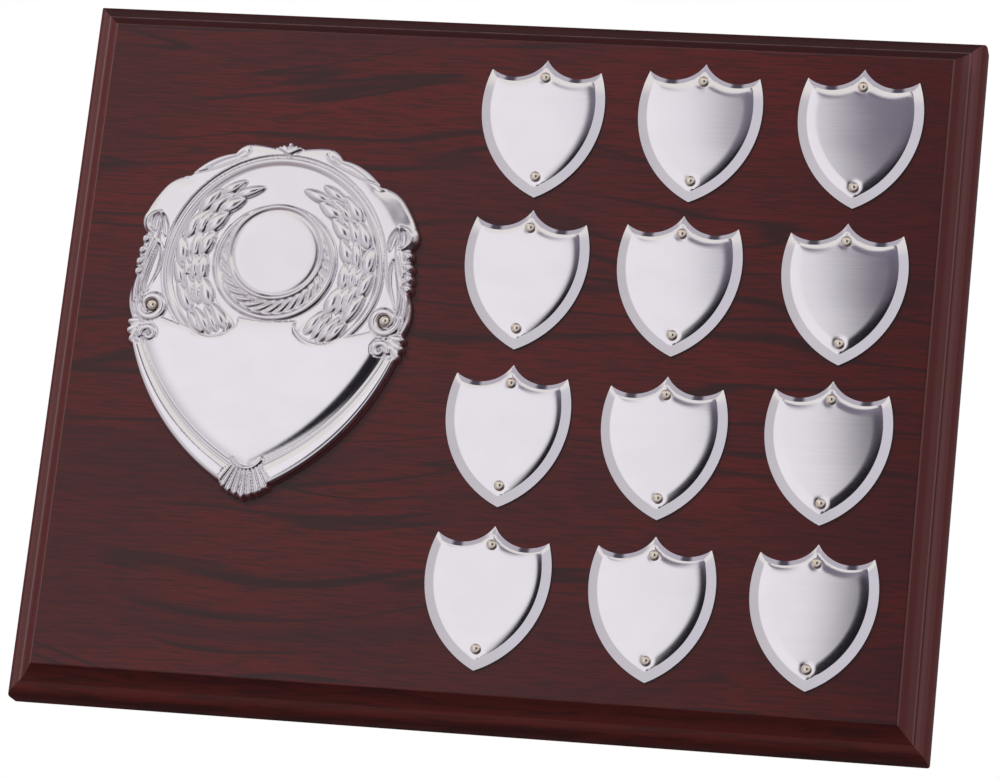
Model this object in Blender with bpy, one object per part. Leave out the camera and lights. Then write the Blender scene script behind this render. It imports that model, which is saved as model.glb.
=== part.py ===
"""A presentation plaque: a moulded wooden board that carries one large relief shield and twelve small ones.

The board stands upright with the middle of its back at the origin: +Z is up, +X is to the right as seen
from the front, and the front faces -Y. The metal pieces lie just in front of the board. Their sizes are
in millimetres in their own plane, u to the right and v up, and MM turns them into metres.
"""

import math

import bpy
import numpy as np
from mathutils.geometry import delaunay_2d_cdt

MM = 0.001
CLEARANCE = 0.3

# Board
BOARD_WIDTH = 305.0
BOARD_HEIGHT = 242.8
BOARD_THICKNESS = 19.0
BOARD_LIP = 6.3
BOARD_MOULDING = 9.4
BOARD_ROUND_WIDTH = 4.7
BOARD_ROUND_TOP = 12.3
BOARD_STEP = 0.6
BOARD_ARRIS = 0.5
BOARD_COVE_HOLLOW = 0.45
BOARD_CORNER_RADIUS = 0.9
BOARD_MITRE_RADIUS = 0.25
BOARD_CORNER_STEPS = 2
BOARD_CURVE_STEPS = 6

# Main shield
SHIELD_CENTRE = (-77.1, 9.6)
SHIELD_LEAN = 0.9
OUTLINE_STEP = 1.7
RELIEF_STEP = 0.75
RELIEF_TRIANGLES = 5300
RIDGE_REACH = 5.0

# Heights of the main shield above its own back
EDGE = 0.8
GROUND = 2.0
VALLEY = 2.1
FLANK = 2.5
GROOVE = 2.45
CUSHION = 3.1
FINE_ROLL = 3.1
PANEL = 3.2
ROLL = 3.6
LEAF = 3.9
MIDDLE_LEAF = 4.1
SCROLL = 3.8
SCROLL_EYE = 2.5

# The edge is rounded over EDGE_ROUND, and the shoulders fall away over SHOULDER_ROUND. They start at
# SHOULDER_FOOT_V and reach their full height SHOULDER_RISE above it
EDGE_ROUND = 1.5
SHOULDER_ROUND = 5.0
SHOULDER_FOOT_V = 18.0
SHOULDER_RISE = 14.0

# Medallion, crescent and rings of the main shield
DISC_CENTRE_V = 22.8
DISC_RADIUS = 14.7
DISC_RIM = 1.8
DISC_EDGE = 2.1
HALO_CENTRE_V = 19.2
HALO_HALF_WIDTH = 21.1
HALO_HALF_HEIGHT = 20.3
HALO_RIM = 2.7
ROPE_LOBES = 28
ROPE_LEAN = 1.54
ROPE_FLOOR = 1.6
ROPE_THINNEST = 0.3
ROPE_END = 0.92
RING_CENTRE_V = 16.0
RING_HALF_WIDTH = 37.8
RING_UPPER = 40.2
RING_LOWER = 32.5
RING_RIM = 2.9
RING_CREST = 1.2
RING_LINE_OUTSET = 0.25
RING_LINE_HALF_WIDTH = 0.45

# Lower panel: its upper edge runs level under the medallion, dips under each branch and climbs to the side
LEVEL_HALF_WIDTH = 9.5
LEVEL_V = -0.4
LEVEL_SAG = 0.8
POCKET_CENTRE = (18.8, 2.0)
POCKET_SIZE = (10.3, 9.7)
POCKET_GAP = 0.3
CLIMB_START = (25.0, -5.73)
CLIMB_SLOPE = 0.31
PANEL_CENTRE_V = -22.0
PANEL_HALF_SIZE = (40.0, 28.0)
PANEL_END_U = 44.5
PANEL_CROWN = 0.25
PILLOW_SIDE = 5.0
PILLOW_TOP = 2.0
PILLOW_TOP_DROP = 0.4

# The border of the lower panel follows one long arc. Its rolls: where the crest lies across the border from
# the outside inwards, half width, both as shares of the border's width, height and whether it fades at the top
BORDER_CENTRE = (-33.7, 15.3)
BORDER_RADIUS = 83.8
BORDER_HEAD_V = -5.0
BORDER_TOP_V = -12.0
BORDER_FADE = 2.0
BORDER_FOOT_V = -50.0
BORDER_WIDTHS = (3.7, 7.9)
BORDER_ROLLS = [(0.3, 0.36, ROLL, True), (0.72, 0.2, FINE_ROLL, True), (0.92, 0.085, FINE_ROLL, False)]

# Laurel branches: each row of leaves has its offset from the middle line, first tip and height. A leaf's foot,
# belly and tip lie at these shares of that offset
LEAF_PITCH = 8.7
LEAF_LENGTH = 12.4
LEAF_HALF_WIDTH = 2.6
LEAF_ROWS = [(-3.4, 3.8, LEAF), (3.4, 3.8, LEAF), (0.0, 8.2, MIDDLE_LEAF)]
LEAF_SHARES = (0.75, 1.08, 1.12)
LEAF_BELLY = 0.45
LEAF_RISE = 1.3
BRANCH_HALF_WIDTH = 5.0
BRANCH_BODY = 2.5

# Scrolls: centre, outer radius, radius of the flat eye, first angle in degrees, turns and their sense
LARGE_SCROLL = ((39.9, 1.8), 6.1, 2.2, 20.0, 1.3, -1)
SMALL_SCROLL = ((39.6, -8.4), 3.8, 0.8, -25.0, 1.5, 1)
SCROLL_SHRINK = 0.49

# Shell at the foot
SHELL_CENTRE_V = -44.0
SHELL_START = 8.4
SHELL_REACH = (18.2, 17.4, 16.9, 16.2, 14.6)
SHELL_ANGLE = 9.5
COLLAR_HALF_WIDTH = 0.85

# Side shields
SIDE_TOP_CENTRE = (10.9, 30.5)
SIDE_TOP_RADIUS = 12.6
SIDE_FLANK_CENTRE = (-14.45, 8.0)
SIDE_FLANK_RADIUS = 35.2
SIDE_TOP_STEPS = 5
SIDE_FLANK_STEPS = 7
# The bevelled rim is narrower along the top. Inside it: how far in from the rim and how high above the back
SIDE_EDGE = 0.45
SIDE_RIM_WIDTH = 3.0
SIDE_TOP_RIM_WIDTH = 1.7
SIDE_RIM_TOP = 1.5
SIDE_ROLL = (1.2, 1.64)
SIDE_SHOULDER = (3.6, 1.74)
SIDE_DOME = 1.85

COLUMNS = (7.4, 59.8, 113.3)
ROWS = (81.6, 28.6, -25.5, -79.8)
# How far each side shield sits from its row and column, across and up, and how many degrees it leans
# clockwise: they were pinned on by hand
SIDE_NUDGES = {
    (1, 1): (0.4, -0.8, -0.25), (1, 2): (0.6, 0.25, 1.85), (1, 3): (0.65, 0.8, 0.2),
    (2, 1): (0.2, -0.45, 1.7), (2, 2): (-0.9, 0.1, -0.2), (2, 3): (0.2, 0.35, -1.0),
    (3, 1): (-0.1, 0.1, 0.3), (3, 2): (-0.5, -0.85, -1.1), (3, 3): (-0.6, 0.75, 0.5),
    (4, 1): (-1.2, -0.25, 2.45), (4, 2): (0.85, -0.3, -1.1), (4, 3): (-0.45, 0.55, 0.3),
}

# Pins
PIN_RADIUS = 1.75
PIN_HEAD = 1.1
PIN_SIDES = 10
SIDE_PIN_TOP = 17.6
SIDE_PIN_BOTTOM = -17.2

# The right half of the main shield's outline, clockwise from the top: where each stretch ends, and how far
# it bows out
RIGHT_OUTLINE = [
    (0.0, 61.9, 0.0), (1.5, 60.9, 0.35), (3.0, 60.5, 0.45), (4.3, 60.0, 0.4),
    (13.0, 60.9, 0.25), (18.8, 57.1, 0.9),
    (33.1, 48.35, 1.7),
    (41.5, 43.8, 1.0), (46.7, 34.6, 0.35), (45.7, 26.9, 1.6),
    (46.35, 22.6, 1.1), (47.1, 18.5, 1.05), (47.5, 14.6, 0.95), (47.1, 11.2, 0.95),
    (46.7, -2.8, 1.7),
    (46.8, -5.8, 1.1), (46.4, -9.0, 1.2), (45.3, -12.0, 0.9),
    (8.8, -56.9, 5.2),
    (6.7, -59.2, 0.8), (4.2, -60.6, 0.55), (1.7, -61.5, 0.45), (0.0, -62.6, 0.15),
]

# The middle line of the right laurel branch, from its foot to its tip
BRANCH = [(14.0, -6.5), (22.4, 2.1), (26.8, 10.8), (28.3, 19.0), (26.8, 27.5), (23.2, 35.2), (16.6, 41.8)]
TIP_LEAVES = [((16.8, 41.6), (6.4, 45.4)), ((20.0, 43.0), (12.9, 47.3))]

# Strands of the right side: the line of the crest, half width and height
STRANDS = [
    ([(43.4, 25.5), (45.3, 18.5), (46.2, 12.0), (46.6, 6.0), (46.2, 1.0), (44.4, -2.2)], 1.5, ROLL),
    ([(41.6, 25.0), (42.9, 19.0), (44.0, 13.0), (44.6, 7.5), (44.2, 3.5)], 0.85, FINE_ROLL),
    ([(39.9, 24.8), (38.9, 19.0), (39.1, 13.0), (40.6, 8.6)], 0.7, CUSHION),
    ([(43.2, -3.9), (47.3, -4.3)], 1.45, FINE_ROLL),
    ([(43.0, -5.6), (47.2, -7.4)], 1.6, FINE_ROLL),
    ([(43.6, -7.6), (46.2, -10.6)], 1.35, FINE_ROLL),
]
# The rolled leaf above each shoulder
ROLLED_LEAF = [(33.0, 48.6), (27.0, 52.2), (20.5, 55.2), (14.0, 58.2)]
ROLLED_LEAF_HALF_WIDTH = 2.8
# Hollows of the right side: the line of the deepest place, half width and height of the floor
HOLLOWS = [
    ([(40.5, 22.5), (41.1, 16.0), (42.0, 11.0), (43.1, 6.8)], 1.3, 1.7),
    ([(43.3, 29.6), (43.5, 32.3)], 1.9, 1.9),
    ([(39.4, 26.6), (39.4, 31.4)], 1.0, 1.9),
    ([(33.1, 48.4), (26.0, 50.4), (20.5, 52.9), (16.0, 55.7), (13.2, 57.7)], 0.6, 2.4),
    ([(0.0, 56.6), (4.5, 60.0)], 0.5, 2.0),
]
SIDE_BEADS = [(45.3, 24.7), (46.0, 20.5), (46.4, 16.5), (46.4, 12.8)]
BEAD_RADIUS = 2.0
PALMETTE_FOOT = (0.0, 57.2)
PALMETTE_TIPS = [(0.0, 61.3), (2.4, 60.4), (3.8, 59.9)]
PALMETTE_HALF_WIDTHS = (0.45, 1.2)
COLLAR = [(0.0, -52.0), (2.0, -51.6), (3.7, -50.5), (5.0, -48.9)]

# Colours as they look under a white light
WOOD_COLOUR = (0.075, 0.019, 0.019, 1.0)
SILVER_COLOUR = (0.80, 0.78, 0.80, 1.0)
NICKEL_COLOUR = (0.74, 0.68, 0.58, 1.0)


def clear_scene():
    for obj in list(bpy.data.objects):
        bpy.data.objects.remove(obj, do_unlink=True)


def material(name, colour, roughness, metallic):
    made = bpy.data.materials.new(name)
    made.use_nodes = True
    shader = made.node_tree.nodes["Principled BSDF"]
    shader.inputs["Base Color"].default_value = colour
    shader.inputs["Roughness"].default_value = roughness
    shader.inputs["Metallic"].default_value = metallic
    return made


def add_object(name, points, faces, finish, smooth_angle=None):
    """A closed mesh from points in millimetres, placed where they say."""
    mesh = bpy.data.meshes.new(name)
    mesh.from_pydata([tuple(MM * value for value in point) for point in points], [], faces)
    mesh.materials.append(finish)
    if smooth_angle is not None:
        mesh.shade_smooth()
        mesh.set_sharp_from_angle(angle=math.radians(smooth_angle))
    obj = bpy.data.objects.new(name, mesh)
    bpy.context.scene.collection.objects.link(obj)
    return obj


def arc(start, end, sag, steps):
    """The points of an arc from start to end, without start, that bows sag to the left of its way."""
    du, dv = end[0] - start[0], end[1] - start[1]
    chord = math.hypot(du, dv)
    if abs(sag) < 1e-6:
        return [(start[0] + du * i / steps, start[1] + dv * i / steps) for i in range(1, steps + 1)]
    half_angle = 2 * math.atan(2 * sag / chord)
    radius = chord / 2 / math.sin(half_angle)
    centre = (
        (start[0] + end[0]) / 2 + dv / chord * radius * math.cos(half_angle),
        (start[1] + end[1]) / 2 - du / chord * radius * math.cos(half_angle),
    )
    first = math.atan2(start[1] - centre[1], start[0] - centre[0])
    return [
        (
            centre[0] + radius * math.cos(first - 2 * half_angle * i / steps),
            centre[1] + radius * math.sin(first - 2 * half_angle * i / steps),
        )
        for i in range(1, steps + 1)
    ]


def outline_of(half, step):
    """A closed clockwise outline from its right half, mirrored about u = 0."""
    points = [half[0][:2]]
    for before, (u, v, sag) in zip(half, half[1:]):
        length = math.hypot(u - before[0], v - before[1])
        points += arc(before[:2], (u, v), sag, max(2, round(length / step)))
    return points + [(-u, v) for u, v in reversed(points[1:-1])]


def smooth_path(points, pieces=6):
    """A Catmull-Rom curve through the points."""
    ends = [2 * np.array(points[0]) - points[1], *map(np.array, points), 2 * np.array(points[-1]) - points[-2]]
    path = []
    for a, b, c, d in zip(ends, ends[1:], ends[2:], ends[3:]):
        for t in np.arange(pieces) / pieces:
            path.append(0.5 * (2 * b + (c - a) * t + (2 * a - 5 * b + 4 * c - d) * t**2
                               + (3 * b - a - 3 * c + d) * t**3))
    return np.array([*path, ends[-2]])


def path_distance(u, v, path):
    """Each point's distance from a path, and how far along it the nearest place is, from 0 to 1."""
    nearest = np.full(u.shape, np.inf)
    along = np.zeros(u.shape)
    lengths = np.hypot(*np.diff(path, axis=0).T)
    starts = np.concatenate([[0.0], np.cumsum(lengths)])
    for a, b, length, start in zip(path, path[1:], lengths, starts):
        du, dv = (b - a) / length
        t = np.clip((u - a[0]) * du + (v - a[1]) * dv, 0, length)
        distance = np.hypot(u - a[0] - t * du, v - a[1] - t * dv)
        closer = distance < nearest
        nearest[closer] = distance[closer]
        along[closer] = (start + t[closer]) / starts[-1]
    return nearest, along


def round_over(share, power=0.6):
    """The height of a rounded ridge, 1 at its crest and 0 at its foot, share of its half width away."""
    return np.clip(1 - share**2, 0, None) ** power


def raise_ridge(height, u, v, path, half_width, crest, foot=GROUND, power=0.6):
    """Raises a rounded ridge along a path. half_width and crest may be functions of the way along it."""
    path = np.asarray(path, float)
    low, high = path.min(axis=0) - RIDGE_REACH, path.max(axis=0) + RIDGE_REACH
    inside = np.nonzero((u > low[0]) & (u < high[0]) & (v > low[1]) & (v < high[1]))
    distance, along = path_distance(u[inside], v[inside], path)
    width = half_width(along) if callable(half_width) else half_width
    top = crest(along) if callable(crest) else crest
    share = distance / np.maximum(width, 1e-6)
    ridge = foot + (top - foot) * round_over(share, power)
    height[inside] = np.where(share < 1, np.maximum(height[inside], ridge), height[inside])


def sink_hollow(height, u, v, path, half_width, floor):
    """Sinks a hollow with sloping sides along a path."""
    distance, _ = path_distance(u, v, np.asarray(path, float))
    share = np.clip(distance / half_width, 0, 1)
    height[:] = np.where(share < 1, np.minimum(height, floor + (height - floor) * share**3), height)


def oval_inset(u, v, centre_v, half_width, upper, lower):
    """How far a point lies inside an oval whose upper and lower halves differ in height."""
    across = v - centre_v
    tall = np.where(across > 0, upper, lower)
    radius = np.maximum(np.hypot(u, across), 1e-6)
    return radius / np.maximum(np.hypot(u / half_width, across / tall), 1e-6) - radius


def panel_top(u):
    """Where the lower panel ends at the top: it dips under each branch."""
    level = LEVEL_V - LEVEL_SAG * np.clip(1 - (u / LEVEL_HALF_WIDTH) ** 2, 0, None)
    share = np.clip((u - POCKET_CENTRE[0]) / POCKET_SIZE[0], -1, 1)
    dip = POCKET_CENTRE[1] - POCKET_SIZE[1] * np.sqrt(1 - share**2)
    climb = CLIMB_START[1] + (u - CLIMB_START[0]) * CLIMB_SLOPE
    return np.where(u < LEVEL_HALF_WIDTH, level, np.where(u < CLIMB_START[0], dip, climb))


def bead(offset, half_width, crest):
    """A half-round bead's height above the shield's back, offset from its middle, and 0 beside it."""
    share = offset / half_width
    return np.where(np.abs(share) < 1, GROUND + (crest - GROUND) * round_over(share), 0)


def rims(height, u, v):
    """The outer ring, the halo round the crescent and the disc with its rim."""
    ring = oval_inset(u, v, RING_CENTRE_V, RING_HALF_WIDTH, RING_UPPER, RING_LOWER)
    halo = oval_inset(u, v, HALO_CENTRE_V, HALO_HALF_WIDTH, HALO_HALF_HEIGHT, HALO_HALF_HEIGHT)
    disc = DISC_RADIUS - np.hypot(u, v - DISC_CENTRE_V)
    above = v > panel_top(np.abs(u))
    height[(ring > RING_RIM) & above] = GROUND
    height[above] = np.maximum(height, bead(ring - RING_CREST, RING_RIM - RING_CREST, ROLL))[above]
    line = (np.abs(ring + RING_LINE_OUTSET) < RING_LINE_HALF_WIDTH) & above
    height[line] = np.minimum(height[line], GROOVE)
    height[halo > HALO_RIM] = GROUND
    halo_bead = bead(halo - HALO_RIM / 2, HALO_RIM / 2, PANEL)
    height[:] = np.where(halo_bead > 0, halo_bead, height)
    rope(height, u, v, halo, disc)
    disc_bead = bead(disc + DISC_RIM / 2, DISC_RIM / 2, ROLL)
    height[:] = np.where(disc_bead > 0, disc_bead, height)
    dome = DISC_EDGE + (CUSHION - DISC_EDGE) * np.clip(1 - (1 - disc / DISC_RADIUS) ** 2, 0, None) ** 0.5
    height[:] = np.where(disc > 0, dome, height)


def rope(height, u, v, halo, disc):
    """The twisted rope that fills the crescent between the disc's rim and the halo."""
    inner, outer = -disc - DISC_RIM, halo - HALO_RIM
    width = np.maximum(inner + outer, ROPE_THINNEST)
    inside = (inner > 0) & (outer > 0) & (inner + outer > ROPE_THINNEST)
    radius = np.hypot(u, v - HALO_CENTRE_V)
    angle = np.arctan2(v - HALO_CENTRE_V, u)
    phase = ROPE_LOBES * (angle + ROPE_LEAN * np.log(np.maximum(radius, 1) / HALO_HALF_WIDTH)) / (2 * math.pi)
    across = 2 * (phase - np.floor(phase)) - 1
    share = np.clip(2 * inner / width - 1, -1, 1)
    lobes = round_over(across) * round_over(ROPE_END * share, 0.5)
    height[:] = np.where(inside, ROPE_FLOOR + (PANEL - ROPE_FLOOR) * lobes, height)


def leaf_half_width(along):
    """A leaf's half width, pointed at both ends."""
    return LEAF_HALF_WIDTH * np.sin(math.pi * np.clip(along, 0.02, 0.99) ** 0.85) ** 0.6


def leaf_ridge(along, crest):
    """The height of a leaf's midrib: it rises from under the leaves behind it."""
    return crest - LEAF_RISE + LEAF_RISE * np.sin(0.5 * math.pi * np.clip(along / 0.6, 0, 1))


def branch(height, u, v):
    """A laurel branch of three rows of lapped leaves, and the free leaves at its tip."""
    path = smooth_path(BRANCH)
    bed = np.full(u.shape, GROUND)
    raise_ridge(bed, u, v, path, BRANCH_HALF_WIDTH, BRANCH_BODY)
    lengths = np.concatenate([[0.0], np.cumsum(np.hypot(*np.diff(path, axis=0).T))])

    def spot(way, offset):
        """The point this far along the middle line and this far to its right."""
        place, ahead, behind = (
            np.array([np.interp(at, lengths, path[:, i]) for i in (0, 1)]) for at in (way, way + 1, way - 1)
        )
        along = (ahead - behind) / np.hypot(*(ahead - behind))
        return place + offset * np.array([along[1], -along[0]])

    leaves = []
    for offset, first, crest in LEAF_ROWS:
        at_foot, at_belly, at_tip = (share * offset for share in LEAF_SHARES)
        for tip_way in np.arange(first, lengths[-1] + 0.5, LEAF_PITCH):
            foot = spot(max(tip_way - LEAF_LENGTH, 0), at_foot)
            belly = spot(max(tip_way - LEAF_BELLY * LEAF_LENGTH, 0), at_belly)
            leaves.append(([foot, belly, spot(tip_way, at_tip)], crest))
    for foot, tip in TIP_LEAVES:
        foot, tip = np.array(foot), np.array(tip)
        leaves.append(([foot, (foot + tip) / 2, tip], LEAF))
    for line, crest in leaves:
        midrib = smooth_path(line, 3)
        raise_ridge(bed, u, v, midrib, leaf_half_width, lambda t, crest=crest: leaf_ridge(t, crest), power=0.75)
    growing = (bed > GROUND) & (v > panel_top(u) + POCKET_GAP)
    height[growing] = np.maximum(height, bed)[growing]


def scroll(height, u, v, centre, radius, eye, first, turns, sense):
    """A ridge that winds inwards round a centre to a flat eye."""
    du, dv = u - centre[0], v - centre[1]
    distance = np.hypot(du, dv)
    angle = sense * (np.degrees(np.arctan2(dv, du)) - first) / 360 % 1
    best = np.zeros(u.shape)
    for turn in range(math.ceil(turns) + 1):
        way = angle + turn
        outer = radius * np.exp(-SCROLL_SHRINK * way**2)
        inner = radius * np.exp(-SCROLL_SHRINK * (way + 1) ** 2)
        across = (distance - (outer + inner) / 2) / ((outer - inner) / 2)
        best = np.where((np.abs(across) < 1) & (way < turns), round_over(across, 0.5), best)
    within = distance < radius * np.exp(-SCROLL_SHRINK * angle**2)
    height[within] = np.minimum(height, VALLEY)[within]
    height[:] = np.maximum(height, np.where(best > 0, VALLEY + (SCROLL - VALLEY) * best, 0))
    height[distance < eye] = SCROLL_EYE


def border(height, u, v):
    """The lower panel with its pillowed edge, and the rolls and thin bead that frame it."""
    inset = BORDER_RADIUS - np.hypot(u - BORDER_CENTRE[0], v - BORDER_CENTRE[1])
    down = np.clip((BORDER_TOP_V - v) / (BORDER_TOP_V - BORDER_FOOT_V), 0, 1)
    width = BORDER_WIDTHS[0] + (BORDER_WIDTHS[1] - BORDER_WIDTHS[0]) * down
    below_top = panel_top(u) - v
    side = np.clip((inset - width) / PILLOW_SIDE, 0, 1)
    top = np.clip(below_top / PILLOW_TOP, 0, 1)
    pillow = np.sqrt(1 - (1 - side) ** 2) * (1 - PILLOW_TOP_DROP * (1 - np.sqrt(top)))
    away = (u / PANEL_HALF_SIZE[0]) ** 2 + ((v - PANEL_CENTRE_V) / PANEL_HALF_SIZE[1]) ** 2
    panel = (below_top > 0) & (inset > width) & (u < PANEL_END_U)
    crown = 1 - PANEL_CROWN * away
    height[:] = np.where(panel, VALLEY + (PANEL - VALLEY) * pillow * crown, height)
    shown = np.clip((BORDER_TOP_V - v) / BORDER_FADE + 1, 0, 1)
    rolls = np.full(u.shape, VALLEY)
    for middle, half_width, crest, fades in BORDER_ROLLS:
        ridge = (crest - VALLEY) * round_over((inset / width - middle) / half_width)
        rolls = np.maximum(rolls, VALLEY + ridge * (shown if fades else 1))
    height[:] = np.where((inset < width) & (v < BORDER_HEAD_V), rolls, height)


def shell(height, u, v):
    """A fan of flutes at the foot, under a curved collar."""
    angle = np.degrees(np.arctan2(u, SHELL_CENTRE_V - v))
    radius = np.hypot(u, v - SHELL_CENTRE_V)
    flute = np.clip(np.round(angle / SHELL_ANGLE), 0, len(SHELL_REACH) - 1).astype(int)
    across = (angle / SHELL_ANGLE - flute) * 2
    inside = (radius > SHELL_START) & (np.abs(across) <= 1) & (radius < np.array(SHELL_REACH)[flute] + 1)
    height[:] = np.where(inside, VALLEY + (ROLL - VALLEY) * round_over(across), height)
    raise_ridge(height, u, v, smooth_path(COLLAR, 4), COLLAR_HALF_WIDTH, LEAF, VALLEY)


def relief(u, v, inset):
    """The main shield's height at each point, inset from its outline. Only the rope isn't mirrored."""
    side, u = u, np.abs(u)
    shoulder = np.clip((v - SHOULDER_FOOT_V) / SHOULDER_RISE, 0, 1)
    rounded = np.sqrt(1 - (1 - np.clip(inset / SHOULDER_ROUND, 0, 1)) ** 2)
    height = FLANK + (CUSHION - FLANK) * shoulder * (2 * rounded - 1)
    border(height, u, v)
    rims(height, side, v)
    for path, half_width, crest in STRANDS:
        raise_ridge(height, u, v, smooth_path(path, 4), half_width, crest, VALLEY)
    raise_ridge(height, u, v, smooth_path(ROLLED_LEAF, 4), ROLLED_LEAF_HALF_WIDTH, ROLL, GROOVE, 1.2)
    for path, half_width, floor in HOLLOWS:
        sink_hollow(height, u, v, path, half_width, floor)
    for bead_u, bead_v in SIDE_BEADS:
        away = np.hypot(u - bead_u, v - bead_v) / BEAD_RADIUS
        height[:] = np.where(away < 1, VALLEY + (ROLL - VALLEY) * round_over(away, 0.5), height)
    branch(height, u, v)
    scroll(height, u, v, *LARGE_SCROLL)
    scroll(height, u, v, *SMALL_SCROLL)
    low, high = PALMETTE_HALF_WIDTHS
    for tip in PALMETTE_TIPS:
        raise_ridge(height, u, v, [PALMETTE_FOOT, tip], lambda t: low + (high - low) * t, LEAF, VALLEY)
    shell(height, u, v)
    rounded = np.sqrt(1 - (1 - np.clip(inset / EDGE_ROUND, 0, 1)) ** 2)
    return EDGE + (height - EDGE) * rounded


def inside_outline(u, v, outline):
    inside = np.zeros(u.shape, bool)
    for (au, av), (bu, bv) in zip(outline, np.roll(outline, -1, axis=0)):
        if av != bv:
            crosses = (av > v) != (bv > v)
            inside ^= crosses & (u < au + (v - av) * (bu - au) / (bv - av))
    return inside


def relief_surface(step, outline_step):
    """Points and triangles of the main shield's front: a grid within the outline, joined to it."""
    outline = np.array(outline_of(RIGHT_OUTLINE, outline_step))
    low, high = outline.min(axis=0), outline.max(axis=0) + step
    across, up = np.arange(low[0], high[0], step), np.arange(low[1], high[1], step)
    u, v = (grid.ravel() for grid in np.meshgrid(across, up))
    closed = np.vstack([outline, outline[:1]])
    inset, _ = path_distance(u, v, closed)
    keep = inside_outline(u, v, outline) & (inset > 0.6 * step)
    u, v, inset = u[keep], v[keep], inset[keep]
    height = relief(u, v, inset)
    flat = [*map(tuple, outline), *zip(u, v)]
    edges = [(i, (i + 1) % len(outline)) for i in range(len(outline))]
    found, _, faces, origins, _, _ = delaunay_2d_cdt(flat, edges, [], 1, 1e-5)
    heights = np.concatenate([np.full(len(outline), EDGE), height])
    points = [(p.x, p.y, heights[origin[0]]) for p, origin in zip(found, origins)]
    return points, [tuple(face) for face in faces]


def thinned(points, faces, triangles):
    """The same surface with its flat stretches drawn by fewer triangles."""
    mesh = bpy.data.meshes.new("relief")
    mesh.from_pydata(points, [], faces)
    helper = bpy.data.objects.new("relief", mesh)
    bpy.context.scene.collection.objects.link(helper)
    reduce = helper.modifiers.new("Thin", "DECIMATE")
    reduce.ratio = triangles / len(faces)
    reduce.use_collapse_triangulate = True
    evaluated = helper.evaluated_get(bpy.context.evaluated_depsgraph_get())
    result = bpy.data.meshes.new_from_object(evaluated)
    bpy.data.objects.remove(helper, do_unlink=True)
    return [tuple(vertex.co) for vertex in result.vertices], [tuple(face.vertices) for face in result.polygons]


def backed(points, faces):
    """Closes a front surface with straight walls down to a flat back at height 0."""
    edges = {(a, b) for face in faces for a, b in zip(face, face[1:] + face[:1])}
    rim = {a: b for a, b in edges if (b, a) not in edges}
    loop = [next(iter(rim))]
    while rim[loop[-1]] != loop[0]:
        loop.append(rim[loop[-1]])
    first = len(points)
    points = points + [(points[i][0], points[i][1], 0.0) for i in loop]
    below = {top: first + i for i, top in enumerate(loop)}
    walls = [(b, a, below[a], below[b]) for a, b in rim.items()]
    return points, faces + walls + [tuple(below[i] for i in reversed(loop))]


def facing_front(points):
    """Points of a metal piece, u, v and height, as x, y and z in front of its own origin."""
    return [(u, -h, v) for u, v, h in points]


def board_profile():
    """The moulding from the back to the flat front, as inset from the side and height above the back."""
    points = [(0.0, 0.0), (0.0, BOARD_LIP)]
    rise = BOARD_ROUND_TOP - BOARD_LIP
    for i in range(1, BOARD_CURVE_STEPS + 1):
        angle = 0.5 * math.pi * i / BOARD_CURVE_STEPS
        points.append((BOARD_ROUND_WIDTH * (1 - math.cos(angle)), BOARD_LIP + rise * math.sin(angle)))
    cove_foot = BOARD_ROUND_TOP + BOARD_STEP
    cove_top = BOARD_THICKNESS - BOARD_ARRIS
    cove_start = BOARD_ROUND_WIDTH + BOARD_STEP
    for i in range(BOARD_CURVE_STEPS + 1):
        share = i / BOARD_CURVE_STEPS
        climb = (1 - BOARD_COVE_HOLLOW) * share + BOARD_COVE_HOLLOW * share**2
        inset = cove_start + (BOARD_MOULDING - cove_start) * share
        points.append((inset, cove_foot + (cove_top - cove_foot) * climb))
    return points + [(BOARD_MOULDING + BOARD_ARRIS, BOARD_THICKNESS)]


def make_board(finish):
    """The moulding's profile carried round the board's four corners, with a flat front and back."""
    points, faces = [], []
    profile = board_profile()
    corners = [(1, 1), (-1, 1), (-1, -1), (1, -1)]
    for inset, height in profile:
        radius = max(BOARD_CORNER_RADIUS - inset, BOARD_MITRE_RADIUS)
        half_width = BOARD_WIDTH / 2 - inset - radius
        half_height = BOARD_HEIGHT / 2 - inset - radius
        for corner, (side, end) in enumerate(corners):
            for i in range(BOARD_CORNER_STEPS + 1):
                angle = math.radians(90 * (corner + i / BOARD_CORNER_STEPS))
                x = side * half_width + radius * math.cos(angle)
                z = end * half_height + radius * math.sin(angle)
                points.append((x, -height, z))
    count = len(corners) * (BOARD_CORNER_STEPS + 1)
    faces.append(tuple(reversed(range(count))))
    for ring in range(len(profile) - 1):
        for i in range(count):
            a, b = ring * count + i, ring * count + (i + 1) % count
            faces.append((a, b, b + count, a + count))
    faces.append(tuple(range(len(points) - count, len(points))))
    return add_object("board", points, faces, finish, 35)


def side_ring(top_inset, inset):
    """The side shield's outline moved inwards: the same arcs with other radii, cut where they meet."""
    top_u, top_v = SIDE_TOP_CENTRE
    flank_u, flank_v = SIDE_FLANK_CENTRE
    top_radius = SIDE_TOP_RADIUS + top_inset
    flank_radius = SIDE_FLANK_RADIUS - inset
    peak = (0.0, top_v - math.sqrt(top_radius**2 - top_u**2))
    tip = (0.0, flank_v - math.sqrt(flank_radius**2 - flank_u**2))
    apart_u, apart_v = top_u - flank_u, top_v - flank_v
    apart = math.hypot(apart_u, apart_v)
    along = (flank_radius**2 - top_radius**2 + apart**2) / (2 * apart)
    across = math.sqrt(flank_radius**2 - along**2)
    ear = (
        flank_u + (apart_u * along + apart_v * across) / apart,
        flank_v + (apart_v * along - apart_u * across) / apart,
    )
    half = arc_about(SIDE_TOP_CENTRE, peak, ear, SIDE_TOP_STEPS)
    half += arc_about(SIDE_FLANK_CENTRE, ear, tip, SIDE_FLANK_STEPS)[1:]
    return half + [(-u, v) for u, v in reversed(half[1:-1])]


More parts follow.
